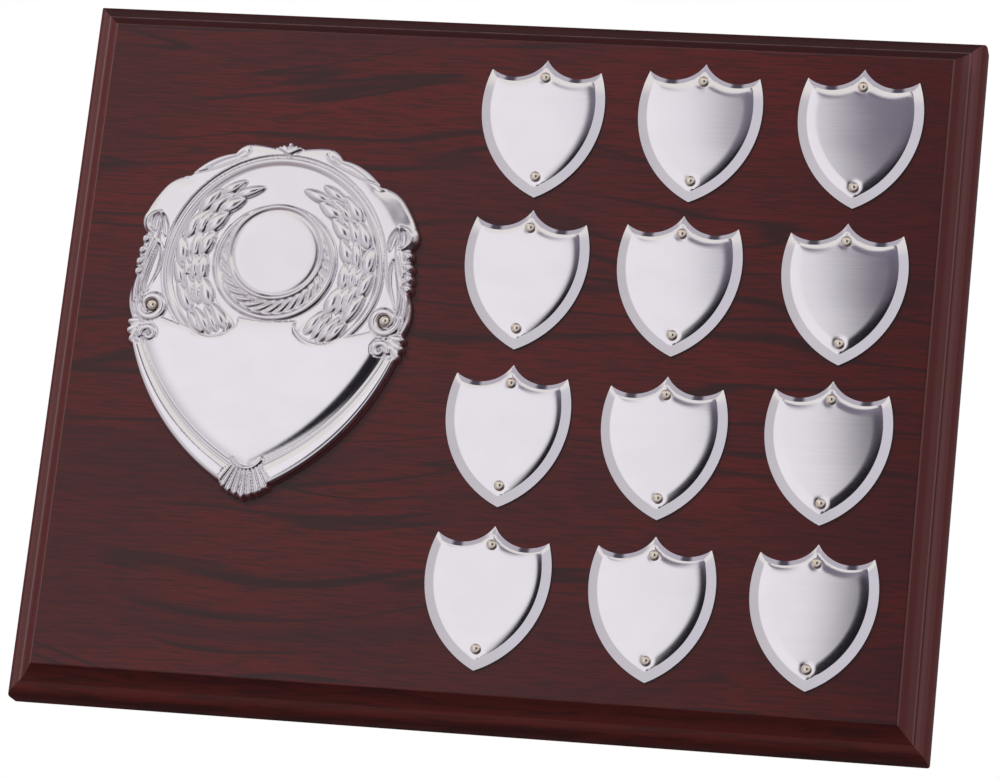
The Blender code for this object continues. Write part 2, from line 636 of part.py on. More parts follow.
def arc_about(centre, start, end, steps):
    """Points from start to end on a circle about a centre."""
    radius = math.hypot(start[0] - centre[0], start[1] - centre[1])
    first = math.atan2(start[1] - centre[1], start[0] - centre[0])
    last = math.atan2(end[1] - centre[1], end[0] - centre[0])
    angles = [first + (last - first) * i / steps for i in range(steps + 1)]
    return [(centre[0] + radius * math.cos(angle), centre[1] + radius * math.sin(angle)) for angle in angles]


def closed_rings(rings):
    """A closed shape from clockwise rings, back to front, each a list of points. The last is one point."""
    count = len(rings[0])
    points = [point for ring in rings for point in ring]
    faces = [tuple(range(count))]
    for ring in range(len(rings) - 2):
        for i in range(count):
            a, b = ring * count + i, ring * count + (i + 1) % count
            faces.append((b, a, a + count, b + count))
    last = (len(rings) - 2) * count
    faces += [(last + (i + 1) % count, last + i, len(points) - 1) for i in range(count)]
    return points, faces


def side_shield_mesh():
    """A bevelled rim round a gently domed panel with rolled edges."""
    sections = [(0.0, 0.0, 0.0), (0.0, 0.0, SIDE_EDGE)]
    for into, height in ((0.0, SIDE_RIM_TOP), SIDE_ROLL, SIDE_SHOULDER):
        sections.append((SIDE_TOP_RIM_WIDTH + into, SIDE_RIM_WIDTH + into, height))
    rings = [[(u, v, height) for u, v in side_ring(top, flank)] for top, flank, height in sections]
    return closed_rings([*rings, [(0.0, 0.0, SIDE_DOME)]])


def pin_mesh():
    """A round head, flat below."""
    rings = []
    for angle in (0.0, 0.25 * math.pi):
        radius = PIN_RADIUS * math.cos(angle)
        turn = [-2 * math.pi * i / PIN_SIDES for i in range(PIN_SIDES)]
        rings.append([(radius * math.cos(t), radius * math.sin(t), PIN_HEAD * math.sin(angle)) for t in turn])
    return closed_rings([*rings, [(0.0, 0.0, PIN_HEAD)]])


def place(obj, parent, x, depth, z, lean=0.0):
    """Sets an object on its parent, in millimetres, leaning clockwise as seen from the front."""
    obj.parent = parent
    obj.location = (MM * x, MM * depth, MM * z)
    obj.rotation_euler = (0.0, math.radians(lean), 0.0)


def copy_of(mesh, name):
    obj = bpy.data.objects.new(name, mesh)
    bpy.context.scene.collection.objects.link(obj)
    return obj


def main():
    clear_scene()
    wood = material("stained wood", WOOD_COLOUR, 0.4, 0.0)
    silver = material("silvered metal", SILVER_COLOUR, 0.25, 1.0)
    nickel = material("nickel", NICKEL_COLOUR, 0.2, 1.0)
    plaque = bpy.data.objects.new("plaque", None)
    bpy.context.scene.collection.objects.link(plaque)
    front = -(BOARD_THICKNESS + CLEARANCE)
    place(make_board(wood), plaque, 0, 0, 0)

    points, faces = relief_surface(RELIEF_STEP, OUTLINE_STEP)
    points, faces = backed(*thinned(points, faces, RELIEF_TRIANGLES))
    main_shield = add_object("main_shield", facing_front(points), faces, silver)
    place(main_shield, plaque, SHIELD_CENTRE[0], front, SHIELD_CENTRE[1], SHIELD_LEAN)

    points, faces = pin_mesh()
    pin = add_object("main_pin_left", facing_front(points), faces, nickel, 50)
    (eye_u, eye_v), head_foot = LARGE_SCROLL[0], -(SCROLL_EYE + CLEARANCE)
    place(pin, main_shield, -eye_u, head_foot, eye_v)
    place(copy_of(pin.data, "main_pin_right"), main_shield, eye_u, head_foot, eye_v)

    points, faces = side_shield_mesh()
    shield_mesh = None
    for (row, column), (nudge_x, nudge_z, lean) in SIDE_NUDGES.items():
        name = f"side_shield_r{row}c{column}"
        if shield_mesh is None:
            shield = add_object(name, facing_front(points), faces, silver, 15)
            shield_mesh = shield.data
        else:
            shield = copy_of(shield_mesh, name)
        place(shield, plaque, COLUMNS[column - 1] + nudge_x, front, ROWS[row - 1] + nudge_z, lean)
        for end, height in (("top", SIDE_PIN_TOP), ("bottom", SIDE_PIN_BOTTOM)):
            head = copy_of(pin.data, f"pin_r{row}c{column}_{end}")
            place(head, shield, 0, -(SIDE_DOME + CLEARANCE), height)


main()
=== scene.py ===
"""The looks of a presentation plaque: a stained wooden board, a large relief shield and twelve small ones.

The plaque hangs upright with the middle of its back at the origin: +Z is up, +X is to the right as seen
from the front, and the front faces -Y. Sizes are in millimetres and MM turns them into metres. Each metal
piece has its own plane: u to the right, v up, and its height in front of its own back.
"""

import math

import bpy
import numpy as np
from mathutils import Matrix, Vector
from mathutils.geometry import delaunay_2d_cdt

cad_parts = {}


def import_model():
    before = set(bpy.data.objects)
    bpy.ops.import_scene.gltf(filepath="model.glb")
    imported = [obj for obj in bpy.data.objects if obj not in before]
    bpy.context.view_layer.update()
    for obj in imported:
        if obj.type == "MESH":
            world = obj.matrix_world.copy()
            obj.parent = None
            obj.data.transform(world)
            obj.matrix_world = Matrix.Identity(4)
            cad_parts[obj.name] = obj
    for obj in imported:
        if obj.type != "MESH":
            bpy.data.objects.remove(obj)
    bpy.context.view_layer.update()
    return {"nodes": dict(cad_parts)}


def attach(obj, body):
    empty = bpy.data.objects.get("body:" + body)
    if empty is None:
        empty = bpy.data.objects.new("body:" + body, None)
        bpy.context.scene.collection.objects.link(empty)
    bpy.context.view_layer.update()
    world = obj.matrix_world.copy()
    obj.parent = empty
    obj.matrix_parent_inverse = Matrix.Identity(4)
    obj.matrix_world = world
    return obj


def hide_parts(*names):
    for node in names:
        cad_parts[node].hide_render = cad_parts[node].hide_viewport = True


MM = 0.001
CLEARANCE = 0.3
WELD = 1e-5

# Camera, found from the board's own corners
CAMERA_PLACE = (283.56, -1395.53, -384.76)
CAMERA_FORWARD = (-0.19256, 0.94673, 0.25812)
CAMERA_UP = (-0.05706, -0.27340, 0.96021)
CAMERA_LENS = 159.55

# Studio
FLOOR_DEPTH = 1400.0
FLOOR_SIZE = 9000.0
# The room, by direction as seen from the plaque: its main brightness, then what is laid over it in turn, each
# with its colour and how far to that side it starts and is full, as sines of the angle from straight ahead
ROOM = (0.95, 0.925, 0.955)
ROOM_PARTS = [
    ("down", -0.10, 0.30, (0.66, 0.64, 0.67)),
    ("left", 0.36, 0.70, (0.62, 0.59, 0.62)),
    ("right", 0.20, 0.28, (0.68, 0.66, 0.71)),
    ("right", 0.62, 0.90, (0.36, 0.31, 0.32)),
    ("gap", -0.104, -0.044, None),
    ("up", 0.39, 0.47, (0.88, 0.85, 0.81)),
    ("up", 0.69, 0.80, (0.52, 0.49, 0.55)),
    ("overhead", 0.0, 1.0, (0.08, 0.07, 0.09)),
    ("down", 0.40, 0.70, (0.38, 0.33, 0.34)),
    ("low right", 0.60, 0.75, (0.035, 0.025, 0.028)),
    ("down", 0.80, 0.95, (0.05, 0.045, 0.05)),
    ("back", -0.10, 0.25, (0.095, 0.055, 0.058)),
]
# The dark gap between the lights: black low down and grey higher up. It leans over to the left as it rises,
# and reaches a little further left at its foot
GAP_BLACK = (0.014, 0.011, 0.016)
GAP_GREY = (0.19, 0.17, 0.22)
GAP_GREY_FROM = (0.20, 0.34)
GAP_RIGHT = (0.18, 0.26)
GAP_TOP = (0.38, 0.46)
GAP_FOOT = (-0.13, 0.0)
GAP_LEAN_FROM = 0.19
GAP_LEAN = 0.45
GAP_LOW = (0.17, 0.25)
GAP_LOW_LEAN = 0.03
# A dark patch overhead: where it starts going up, and its middle and half width across
OVERHEAD_FROM = (0.86, 0.93)
OVERHEAD_MIDDLE = -0.14
OVERHEAD_HALF_WIDTH = (0.04, 0.14)
# The room's light on what isn't mirror-like
AMBIENT = (0.26, 0.255, 0.26)
# A soft light above on the left that models the wood; the metal doesn't mirror it
KEY_PLACE = (-650, -900, 650)
KEY_SIZE = 360
KEY_BRIGHTNESS = 22.0
KEY_COLOUR = (1.0, 0.99, 0.98)

# Board
BOARD_WIDTH = 305.0
BOARD_HEIGHT = 242.8
BOARD_THICKNESS = 19.0
BOARD_LIP = 6.3
BOARD_MOULDING = 9.4
BOARD_ROUND_WIDTH = 4.7
BOARD_ROUND_TOP = 12.3
BOARD_STEP = 0.6
BOARD_ARRIS = 0.5
BOARD_COVE_HOLLOW = 0.45
BOARD_ARRIS_STEPS = 3
BOARD_CORNER_RADIUS = 0.9
BOARD_MITRE_RADIUS = 0.12
BOARD_CORNER_STEPS = 5
BOARD_CURVE_STEPS = 14
# A narrow flat ring keeps the front's shading flat up to the moulding
BOARD_FLAT_RING = 0.3
# Where thin highlight lines are painted along the moulding, in from the board's edge
HIGHLIGHT_LINES = (4.9, 9.55)

# Main shield
SHIELD_CENTRE = (-77.1, 9.6)
SHIELD_LEAN = 0.9
# The silver is softer to the left of these places and above these heights, on the relief
RELIEF_ENDS = (-28.0, -20.0)
RELIEF_FEET = (0.0, 8.0)
OUTLINE_STEP = 0.5
GRID_STEP = 0.24
SOFTNESS = 0.2
# Each step of the grid, and the least bend for which its points are kept
COARSE_STEPS = ((1, 0.040), (2, 0.007), (4, 0.0))
# How far round a ridge's line its points are looked for
RIDGE_REACH = 5.0

# Heights of the main shield above its own back
EDGE = 0.8
GROUND = 2.2
VALLEY = 2.2
FLANK = 2.5
GROOVE = 2.45
CUSHION = 3.1
FINE_ROLL = 3.0
PANEL = 3.1
RIM = 3.2
ROLL = 3.6
LEAF = 3.9
SCROLL = 3.5
SCROLL_EYE = 1.5

# The edge is rounded over EDGE_ROUND, and the shoulders fall away over SHOULDER_ROUND. They start at
# SHOULDER_FOOT_V and reach their full height SHOULDER_RISE above it
EDGE_ROUND = 1.5
SHOULDER_ROUND = 5.0
SHOULDER_FOOT_V = 18.0
SHOULDER_RISE = 14.0

# Medallion, crescent and rings of the main shield
DISC_CENTRE_V = 22.8
DISC_RADIUS = 14.7
DISC_RIM = 2.1
DISC_CREST = 0.9
DISC_TOP = 2.6
DISC_DIP = 0.3
DISC_EDGE_WIDTH = 0.5
HALO_CENTRE_V = 19.2
HALO_HALF_WIDTH = 21.1
HALO_HALF_HEIGHT = 20.3
HALO_RIM = 2.7
HALO_CREST = 1.2
ROPE_LOBES = 28
ROPE_LEAN = 1.54
ROPE_FLOOR = 1.9
ROPE_THINNEST = 0.3
ROPE_END = 0.92
RING_CENTRE_V = 16.0
RING_HALF_WIDTH = 37.8
RING_UPPER = 40.2
RING_LOWER = 32.5
RING_RIM = 2.9
RING_CREST = 1.2
RIM_SLOPE_POWER = 1.3
RING_LINE_OUTSET = 0.25
RING_LINE_HALF_WIDTH = 0.45

# Lower panel: its upper edge runs level under the medallion, dips under each branch and climbs to the side
LEVEL_HALF_WIDTH = 9.5
LEVEL_V = -0.4
LEVEL_SAG = 0.8
POCKET_CENTRE = (18.8, 2.0)
POCKET_SIZE = (10.3, 9.7)
POCKET_GAP = 0.3
CLIMB_START = (25.0, -5.73)
CLIMB_SLOPE = 0.31
PANEL_END_U = 44.5
PANEL_SIDE_SLOPE = 0.28
PANEL_SIDE_ROLL = 8.0
PANEL_TOP_SLOPE = 0.16
PANEL_TOP_ROLL = 4.0
PANEL_ROLL_POWER = 1.6

# The border of the lower panel follows one long arc. Its rolls: where the crest lies from the outside
# inwards and half width, as shares of the border's width, then the height and whether it fades at the top
BORDER_CENTRE = (-33.7, 15.3)
BORDER_RADIUS = 83.8
BORDER_HEAD_V = -5.0
BORDER_TOP_V = -12.0
BORDER_FADE = 2.0
BORDER_FOOT_V = -50.0
BORDER_WIDTHS = (4.6, 8.2)
BORDER_FLOOR = 2.45
BORDER_ROLLS = [(0.4, 0.42, RIM, True), (0.92, 0.085, FINE_ROLL, False)]

# Laurel branches: the height of a leaf's edge, how far its foot lies below its body, where that ends along
# it, and its shape across
LEAF_EDGE = 2.75
LEAF_SINK = 0.5
LEAF_FULL = 0.55
LEAF_POWER = 0.5
LEAF_CREASE = 2.0
BRANCH_HALF_WIDTH = 4.6
BRANCH_BODY = 2.7

# Scrolls: centre, outer radius, radius of the flat eye, first angle in degrees, turns, their sense and how
# fast they shrink
LARGE_SCROLL = ((39.9, 1.8), 6.1, 2.0, 20.0, 1.25, -1, 0.46)
SMALL_SCROLL = ((39.6, -8.4), 4.0, 0.45, -25.0, 1.3, 1, 0.8)
SCROLL_POWER = 0.6

# Shell at the foot
SHELL_CENTRE_V = -44.0
SHELL_START = 8.4
SHELL_REACH = (18.2, 17.4, 16.9, 16.2, 14.6)
SHELL_ANGLE = 8.6
FLUTE_FLOOR = 1.9
FLUTE_TOP = 3.5
FLUTE_CREASE = 2.6
COLLAR_HALF_WIDTH = 0.85

# Side shields: two arcs for each half of the outline, and the profile from the edge inwards
SIDE_TOP_CENTRE = (10.9, 30.5)
SIDE_TOP_RADIUS = 12.6
SIDE_FLANK_CENTRE = (-14.45, 8.0)
SIDE_FLANK_RADIUS = 35.2
SIDE_OUTLINE_STEPS = (18, 30)
SIDE_EDGE = 0.45
SIDE_RIM_WIDTH = 3.0
SIDE_TOP_RIM_WIDTH = 1.7
SIDE_RIM_RISE = 1.05
SIDE_ROLL_SLOPE = 0.145
SIDE_ROLL_WIDTH = 2.9
SIDE_ROLL_POWER = 2.2
# The roll of the panel's edge gets shallower between these heights, down to this share
SIDE_FOOT_V = (-21.0, -3.0)
SIDE_FOOT_SHARE = 0.3
SIDE_DOME_HALF_WIDTH = 18.0
SIDE_DOME_RISE = 0.13
SIDE_RIM_SHARES = (0.08, 0.3, 0.6, 0.85, 0.95, 1.0)
SIDE_RINGS = (0.15, 0.4, 0.7, 1.1, 1.6, 2.2, 2.9, 3.7, 4.7)
SIDE_GRID = 1.3
SIDE_MITRE = 0.03
SIDE_SOFT_MITRE = 0.8
DIMPLE_RADIUS = 3.3
DIMPLE_DEPTH = 0.10
DIMPLE_RINGS = (0.9, 1.5, 1.9, 2.3, 2.7, 3.1)
DIMPLE_SIDES = 24
DIMPLE_CLEAR = 0.2
# Half width and half height of the grid of points inside a side shield
SIDE_REACH = (15.0, 20.0)

COLUMNS = (7.4, 59.8, 113.3)
ROWS = (81.6, 28.6, -25.5, -79.8)
# How far each side shield sits from its row and column, across and up, and how many degrees it leans
# clockwise: they were pinned on by hand
SIDE_NUDGES = {
    (1, 1): (0.4, -0.8, -0.25), (1, 2): (0.6, 0.25, 1.85), (1, 3): (0.65, 0.8, 0.2),
    (2, 1): (0.2, -0.45, 1.7), (2, 2): (-0.9, 0.1, -0.2), (2, 3): (0.2, 0.35, -1.0),
    (3, 1): (-0.1, 0.1, 0.3), (3, 2): (-0.5, -0.85, -1.1), (3, 3): (-0.6, 0.75, 0.5),
    (4, 1): (-1.2, -0.25, 2.45), (4, 2): (0.85, -0.3, -1.1), (4, 3): (-0.45, 0.55, 0.3),
}

# Pins
PIN_RADIUS = 1.7
PIN_RISE = 0.8
PIN_TOP_HEIGHT = 2.95
PIN_SUBDIVISIONS = 4
MAIN_PIN_LIFT = 1.0
SIDE_PINS = (("top", 17.6), ("bottom", -17.2))

# The right half of the main shield's outline, clockwise from the top: where each stretch ends, and how far
# it bows out
RIGHT_OUTLINE = [
    (0.0, 61.9, 0.0), (1.5, 60.9, 0.35), (3.0, 60.5, 0.45), (4.3, 60.0, 0.4),
    (13.0, 60.9, 0.25), (18.8, 57.1, 0.9),
    (33.1, 48.35, 1.7),
    (41.5, 43.8, 1.0), (46.7, 34.6, 0.35), (45.7, 26.9, 1.6),
    (46.35, 22.6, 1.1), (47.1, 18.5, 1.05), (47.5, 14.6, 0.95), (47.1, 11.2, 0.95),
    (46.7, -2.8, 1.7),
    (46.8, -5.8, 1.1), (46.4, -9.0, 1.2), (45.3, -12.0, 0.9),
    (8.8, -56.9, 5.2),
    (6.7, -59.2, 0.8), (4.2, -60.6, 0.55), (1.7, -61.5, 0.45), (0.0, -62.6, 0.15),
]

# The middle line of the right laurel branch, from its foot to its tip
BRANCH = [(15.5, -4.5), (22.0, 2.1), (26.6, 10.8), (28.1, 19.0), (26.4, 27.5), (22.8, 35.2), (18.5, 40.5)]
# The leaves of the right branch: foot, tip and half width
LEAVES = [
    ((13.4, -5.2), (19.2, 3.6), 1.9), ((16.2, -6.5), (21.6, 2.6), 1.4), ((18.6, -6.9), (25.0, 1.9), 1.6),
    ((21.0, -6.8), (27.0, 0.2), 1.8),
    ((20.0, 2.2), (23.5, 12.3), 2.3), ((23.8, 2.6), (26.0, 12.4), 1.5), ((25.4, 3.2), (29.2, 13.2), 1.6),
    ((26.0, 0.0), (31.9, 10.1), 2.0),
    ((24.2, 11.0), (24.3, 20.6), 1.8), ((27.0, 11.2), (27.2, 20.2), 1.5), ((28.4, 9.6), (30.0, 18.8), 1.5),
    ((30.0, 8.2), (33.7, 18.0), 1.8),
    ((25.6, 20.0), (22.0, 28.8), 2.0), ((28.2, 18.2), (26.8, 28.4), 1.6), ((31.4, 16.4), (32.9, 26.6), 2.1),
    ((24.8, 28.2), (18.0, 35.8), 2.2), ((28.0, 26.6), (23.9, 35.8), 1.7), ((31.4, 25.6), (27.3, 35.2), 2.0),
    ((21.6, 35.4), (12.7, 41.0), 2.2), ((24.6, 34.8), (16.9, 42.4), 1.8), ((28.0, 35.0), (21.6, 43.7), 1.9),
    ((16.8, 41.2), (6.8, 45.1), 1.8), ((21.4, 41.6), (13.4, 47.1), 1.7),
]
# Strands of the right side: the line of the crest, half width and height
STRANDS = [
    ([(41.9, 25.6), (43.3, 21.3), (44.8, 16.3), (45.7, 11.9), (46.1, 7.6), (45.9, 3.6), (44.7, -0.6)],
     1.35, ROLL),
    ([(40.9, 23.4), (41.8, 19.5), (43.3, 14.8), (44.0, 10.7), (44.0, 6.5), (43.4, 3.5)], 0.75, ROLL),
    ([(40.1, 23.4), (39.0, 20.7), (38.9, 18.4), (39.6, 14.2), (41.2, 10.0), (42.8, 6.4)], 0.5, CUSHION),
    ([(40.9, 33.6), (41.0, 29.0), (41.3, 25.0), (40.8, 23.2)], 0.75, ROLL),
    ([(41.3, 34.2), (43.6, 33.6), (45.2, 31.4), (44.9, 28.8), (43.2, 27.2), (41.8, 26.6)], 1.0, ROLL),
    ([(41.0, 34.0), (39.0, 32.6), (37.9, 30.0), (37.9, 27.0)], 0.5, CUSHION),
    ([(43.2, -3.9), (47.3, -4.3)], 1.3, CUSHION),
    ([(43.0, -5.6), (47.2, -7.4)], 1.4, CUSHION),
    ([(43.6, -7.6), (46.2, -10.6)], 1.2, CUSHION),
]
# The rolled leaf above each shoulder
ROLLED_LEAF = [(32.8, 48.0), (28.0, 51.2), (23.0, 54.2), (18.5, 56.3), (14.6, 58.0)]
ROLLED_LEAF_HALF_WIDTH = 2.6
# Hollows of the right side: the line of the deepest place, half width and height of the floor
HOLLOWS = [
    ([(40.4, 22.6), (40.6, 18.6), (41.3, 14.2), (42.2, 10.4), (43.3, 6.0)], 1.6, 1.9),
    ([(42.0, 33.6), (42.6, 31.0), (42.7, 27.6)], 1.2, 1.8),
    ([(38.6, 26.0), (39.2, 29.6), (40.4, 33.4)], 1.2, 1.8),
    ([(15.2, 57.2), (18.0, 55.0), (22.0, 53.5), (27.4, 50.6)], 0.7, 2.75),
    ([(33.1, 48.2), (29.8, 49.1), (24.8, 50.9), (19.1, 53.4), (14.2, 55.8), (13.0, 57.4), (13.5, 58.6)],
     0.4, 2.5),
    ([(0.0, 56.6), (4.5, 60.4)], 0.5, 2.2),
]
# A soft fold along each shoulder
FOLD = [(33.0, 48.3), (36.3, 44.2), (39.1, 40.8), (41.0, 37.6), (43.2, 35.4)]
FOLD_HALF_WIDTH = 3.4
FOLD_DEPTH = 0.2
SIDE_BEADS = [(45.3, 24.6), (45.9, 20.7), (46.3, 16.8), (46.3, 13.2)]
BEAD_RADIUS = 1.85
BEAD_FOOT = 1.8
PALMETTE_FOOT = (0.0, 57.2)
PALMETTE_TIPS = [(0.0, 61.3), (2.4, 60.4), (3.8, 59.9)]
PALMETTE_HALF_WIDTHS = (0.45, 1.2)
COLLAR = [(0.0, -52.0), (2.0, -51.6), (3.7, -50.5), (5.0, -48.9)]


class Wire:
    """An output socket of a node. Arithmetic on it adds Math nodes to its tree."""

    def __init__(self, maker, socket):
        self.maker = maker
        self.socket = socket

    def math(self, operation, *values):
        return self.maker.node("ShaderNodeMath", {"operation": operation}, dict(enumerate(values)))

    def __add__(self, other):
        return self.math("ADD", self, other)

    __radd__ = __add__

    def __sub__(self, other):
        return self.math("SUBTRACT", self, other)

    def __rsub__(self, other):
        return self.math("SUBTRACT", other, self)

    def __mul__(self, other):
        return self.math("MULTIPLY", self, other)

    __rmul__ = __mul__

    def __pow__(self, other):
        return self.math("POWER", self, other)

    def __abs__(self):
        return self.math("ABSOLUTE", self)

    def above(self, low, high):
        """0 below low, 1 above high and smooth between."""
        sockets = {"Value": self, "From Min": low, "From Max": high}
        return self.maker.node("ShaderNodeMapRange", {"interpolation_type": "SMOOTHSTEP"}, sockets)


class Shading:
    """Adds nodes to the tree of a material or a world."""

    def __init__(self, owner):
        owner.use_nodes = True
        self.tree = owner.node_tree

    def node(self, kind, settings=None, sockets=None, output=0):
        """Adds a node with its settings and the values or links of its sockets, and gives one output."""
        node = self.tree.nodes.new(kind)
        for name, value in (settings or {}).items():
            if name == "stops":
                ramp = node.color_ramp
                for at, colour in value[1:-1]:
                    ramp.elements.new(at).color = (*colour, 1.0)
                for element, (at, colour) in ((ramp.elements[0], value[0]), (ramp.elements[-1], value[-1])):
                    element.position, element.color = at, (*colour, 1.0)
            else:
                setattr(node, name, value)
        self.fill(node, sockets or {})
        return Wire(self, node.outputs[output])

    def fill(self, node, sockets):
        for name, value in sockets.items():
            if isinstance(value, Wire):
                self.tree.links.new(value.socket, node.inputs[name])
            else:
                node.inputs[name].default_value = value

    def mixed(self, share, first, second, blend="MIX"):
        settings = {"data_type": "RGBA", "blend_type": blend}
        first = first if isinstance(first, Wire) else (*first, 1.0)
        second = second if isinstance(second, Wire) else (*second, 1.0)
        return self.node("ShaderNodeMix", settings, {0: share, 6: first, 7: second}, 2)


class Finish(Shading):
    """A material and the nodes that it is made of."""

    def __init__(self, name):
        self.material = bpy.data.materials.new(name)
        super().__init__(self.material)
        self.surface = self.tree.nodes["Principled BSDF"]
        self.place = self.node("ShaderNodeTexCoord", {}, {}, "Object")

    def stretched(self, scale, turn=0.0):
        """The piece's own coordinates in metres, scaled on each axis."""
        sockets = {"Vector": self.place, "Scale": scale, "Rotation": (0.0, turn, 0.0)}
        return self.node("ShaderNodeMapping", {}, sockets)

    def noise(self, vector, scale, detail=3.0, roughness=0.5, distortion=0.0):
        sockets = {"Vector": vector, "Scale": scale, "Detail": detail, "Roughness": roughness}
        sockets["Distortion"] = distortion
        return self.node("ShaderNodeTexNoise", {}, sockets)

    def bump(self, height, distance, strength=1.0):
        return self.node("ShaderNodeBump", {}, {"Height": height, "Distance": distance, "Strength": strength})


def stained_wood():
    """Dark red-brown stain over straight horizontal grain, under a satin lacquer, with painted shade and
    painted highlights.
    """
    finish = Finish("stained wood")
    x, y, z = (finish.node("ShaderNodeSeparateXYZ", {}, {"Vector": finish.place}, axis) for axis in "XYZ")
    from_side = 0.5 * MM * BOARD_WIDTH - abs(x)
    from_end = 0.5 * MM * BOARD_HEIGHT - abs(z)
    on_side = (from_end - from_side).above(-0.0001, 0.0001)
    inset = from_side.math("MINIMUM", from_side, from_end)
    on_back = 1.0 - (0.0 - y).above(0.0001, 0.0004)
    upper = z.above(-0.01, 0.01)
    moulded = (1.0 - inset.above(MM * BOARD_MOULDING, MM * (BOARD_MOULDING + BOARD_ARRIS))) * (1.0 - on_back)
    on_end = moulded * (1.0 - on_side)

    wander = finish.noise(finish.stretched((5.0, 5.0, 20.0)), 1.0, 3.0, 0.5)
    bend = finish.noise(finish.stretched((7.0, 7.0, 15.0)), 1.0, 1.0, 0.4)
    level = (z + bend * 0.045) * 62.0
    layers = finish.node("ShaderNodeCombineXYZ", {}, {"X": x * 3.5, "Y": y * 3.5, "Z": level})
    figure = finish.noise(layers, 1.0, 2.5, 0.45)
    vein = 1.0 - abs(figure - 0.53).above(0.002, 0.024)
    streak = finish.noise(finish.stretched((38.0, 38.0, 620.0)), 1.0, 4.0, 0.65, 0.6)
    fibre = finish.noise(finish.stretched((90.0, 90.0, 1500.0)), 1.0, 3.0, 0.6, 0.3)
    patch = finish.noise(finish.stretched((9.0, 9.0, 24.0)), 1.0, 2.0, 0.5)

    base = finish.mixed(patch.above(0.35, 0.65), (0.094, 0.0072, 0.0078), (0.130, 0.0078, 0.0072))
    base = finish.mixed(wander.above(0.45, 0.75) * 0.5, base, (0.076, 0.010, 0.012))
    base = finish.mixed(streak.above(0.50, 0.66) * 0.34, base, (0.030, 0.0055, 0.0075))
    base = finish.mixed(figure.above(0.55, 0.68) * 0.42, base, (0.030, 0.0070, 0.0090))
    base = finish.mixed(vein * patch.above(0.34, 0.50) * 0.85, base, (0.020, 0.0045, 0.0055))
    base = finish.mixed(fibre.above(0.46, 0.60) * 0.60, base, (0.030, 0.0050, 0.0065))
    # Painted shade: the face is darkened and reddened towards the right, where the lacquer's sheen fades
    base = finish.mixed(x.above(0.075, 0.135) * 0.25, base, (0.030, 0.0020, 0.0025))
    # Painted light on the moulding's ends: their colour is lightened, then the top end is darkened as painted
    # shade
    end = finish.mixed(streak.above(0.45, 0.60) * 0.7, (0.125, 0.0125, 0.0095), (0.053, 0.0080, 0.0070))
    end = finish.mixed(upper * 0.85, end, (0.020, 0.0025, 0.0025))
    side = finish.mixed(streak.above(0.45, 0.60) * 0.3, (0.135, 0.034, 0.034), (0.100, 0.026, 0.026))
    # Painted light: the right side of the moulding is lightened against the shade that the key on the left
    # leaves there
    side = finish.mixed(x.above(-0.01, 0.01), side, (0.205, 0.058, 0.058))
    # Painted highlights: thin pale lines along the moulding's edges, full on the sides and broken by noise
    # along the top
    highlight_noise = finish.noise(finish.stretched((160.0, 160.0, 160.0)), 1.0, 2.0, 0.6)
    edges = 0.0
    for line in HIGHLIGHT_LINES:
        edges = 1.0 - abs(inset - MM * line).above(0.00012, 0.00036) + edges
    top_highlight = (1.0 - on_side) * upper * (0.25 + highlight_noise.above(0.35, 0.6) * 0.2)
    edges = edges * (0.75 * on_side + top_highlight)
    moulding = finish.mixed(edges, finish.mixed(on_side, end, side), (0.30, 0.175, 0.18))
    colour = finish.mixed(moulded, base, moulding)

    grain = (fibre * 0.5 + streak * 0.5) * (1.0 - moulded * 0.8)
    sockets = {
        "Base Color": colour,
        "Roughness": 0.22 - moulded * 0.14 + fibre * 0.04 + on_end * 0.45 + on_back * 0.2,
        "IOR": 1.43,
        "Normal": finish.bump(grain, 0.00004, 0.5),
    }
    finish.fill(finish.surface, sockets)
    return finish.material


def silvered_metal():
    """Silver plate: bright, with fine horizontal brushing, and softer on the large shield."""
    finish = Finish("silvered metal")
    brushing = finish.noise(finish.stretched((25.0, 25.0, 1900.0)), 1.0, 2.0, 0.6)
    cloud = finish.noise(finish.stretched((60.0, 60.0, 90.0)), 1.0, 3.0, 0.5)
    across, up = (finish.node("ShaderNodeSeparateXYZ", {}, {"Vector": finish.place}, axis) for axis in "XZ")
    beyond = across.above(*(MM * end for end in RELIEF_ENDS))
    relief = (1.0 - beyond) * up.above(*(MM * foot for foot in RELIEF_FEET))
    sockets = {
        "Base Color": finish.mixed(cloud.above(0.3, 0.7), (0.80, 0.78, 0.81), (0.83, 0.81, 0.84)),
        "Metallic": 1.0,
        "Roughness": 0.06 + brushing * 0.03 + cloud * 0.03 + relief * 0.09,
        "Normal": finish.bump(brushing, 0.000006, 0.5),
    }
    finish.fill(finish.surface, sockets)
    return finish.material


def pin_nickel():
    """Polished warm nickel with light tarnish."""
    finish = Finish("pin nickel")
    tarnish = finish.noise(finish.stretched((900.0, 900.0, 900.0)), 1.0, 3.0, 0.5)
    sockets = {
        "Base Color": finish.mixed(tarnish.above(0.35, 0.75), (0.78, 0.71, 0.62), (0.60, 0.53, 0.45)),
        "Metallic": 1.0,
        "Roughness": 0.03 + tarnish * 0.05,
    }
    finish.fill(finish.surface, sockets)
    return finish.material


def pale_floor():
    finish = Finish("pale floor")
    speckle = finish.noise(finish.place, 40.0)
    colour = finish.mixed(speckle, (0.78, 0.78, 0.78), (0.84, 0.84, 0.84))
    finish.fill(finish.surface, {"Base Color": colour, "Roughness": 0.8})
    finish.fill(finish.surface, {"Emission Color": (1.0, 1.0, 1.0, 1.0), "Emission Strength": 0.5})
    return finish.material


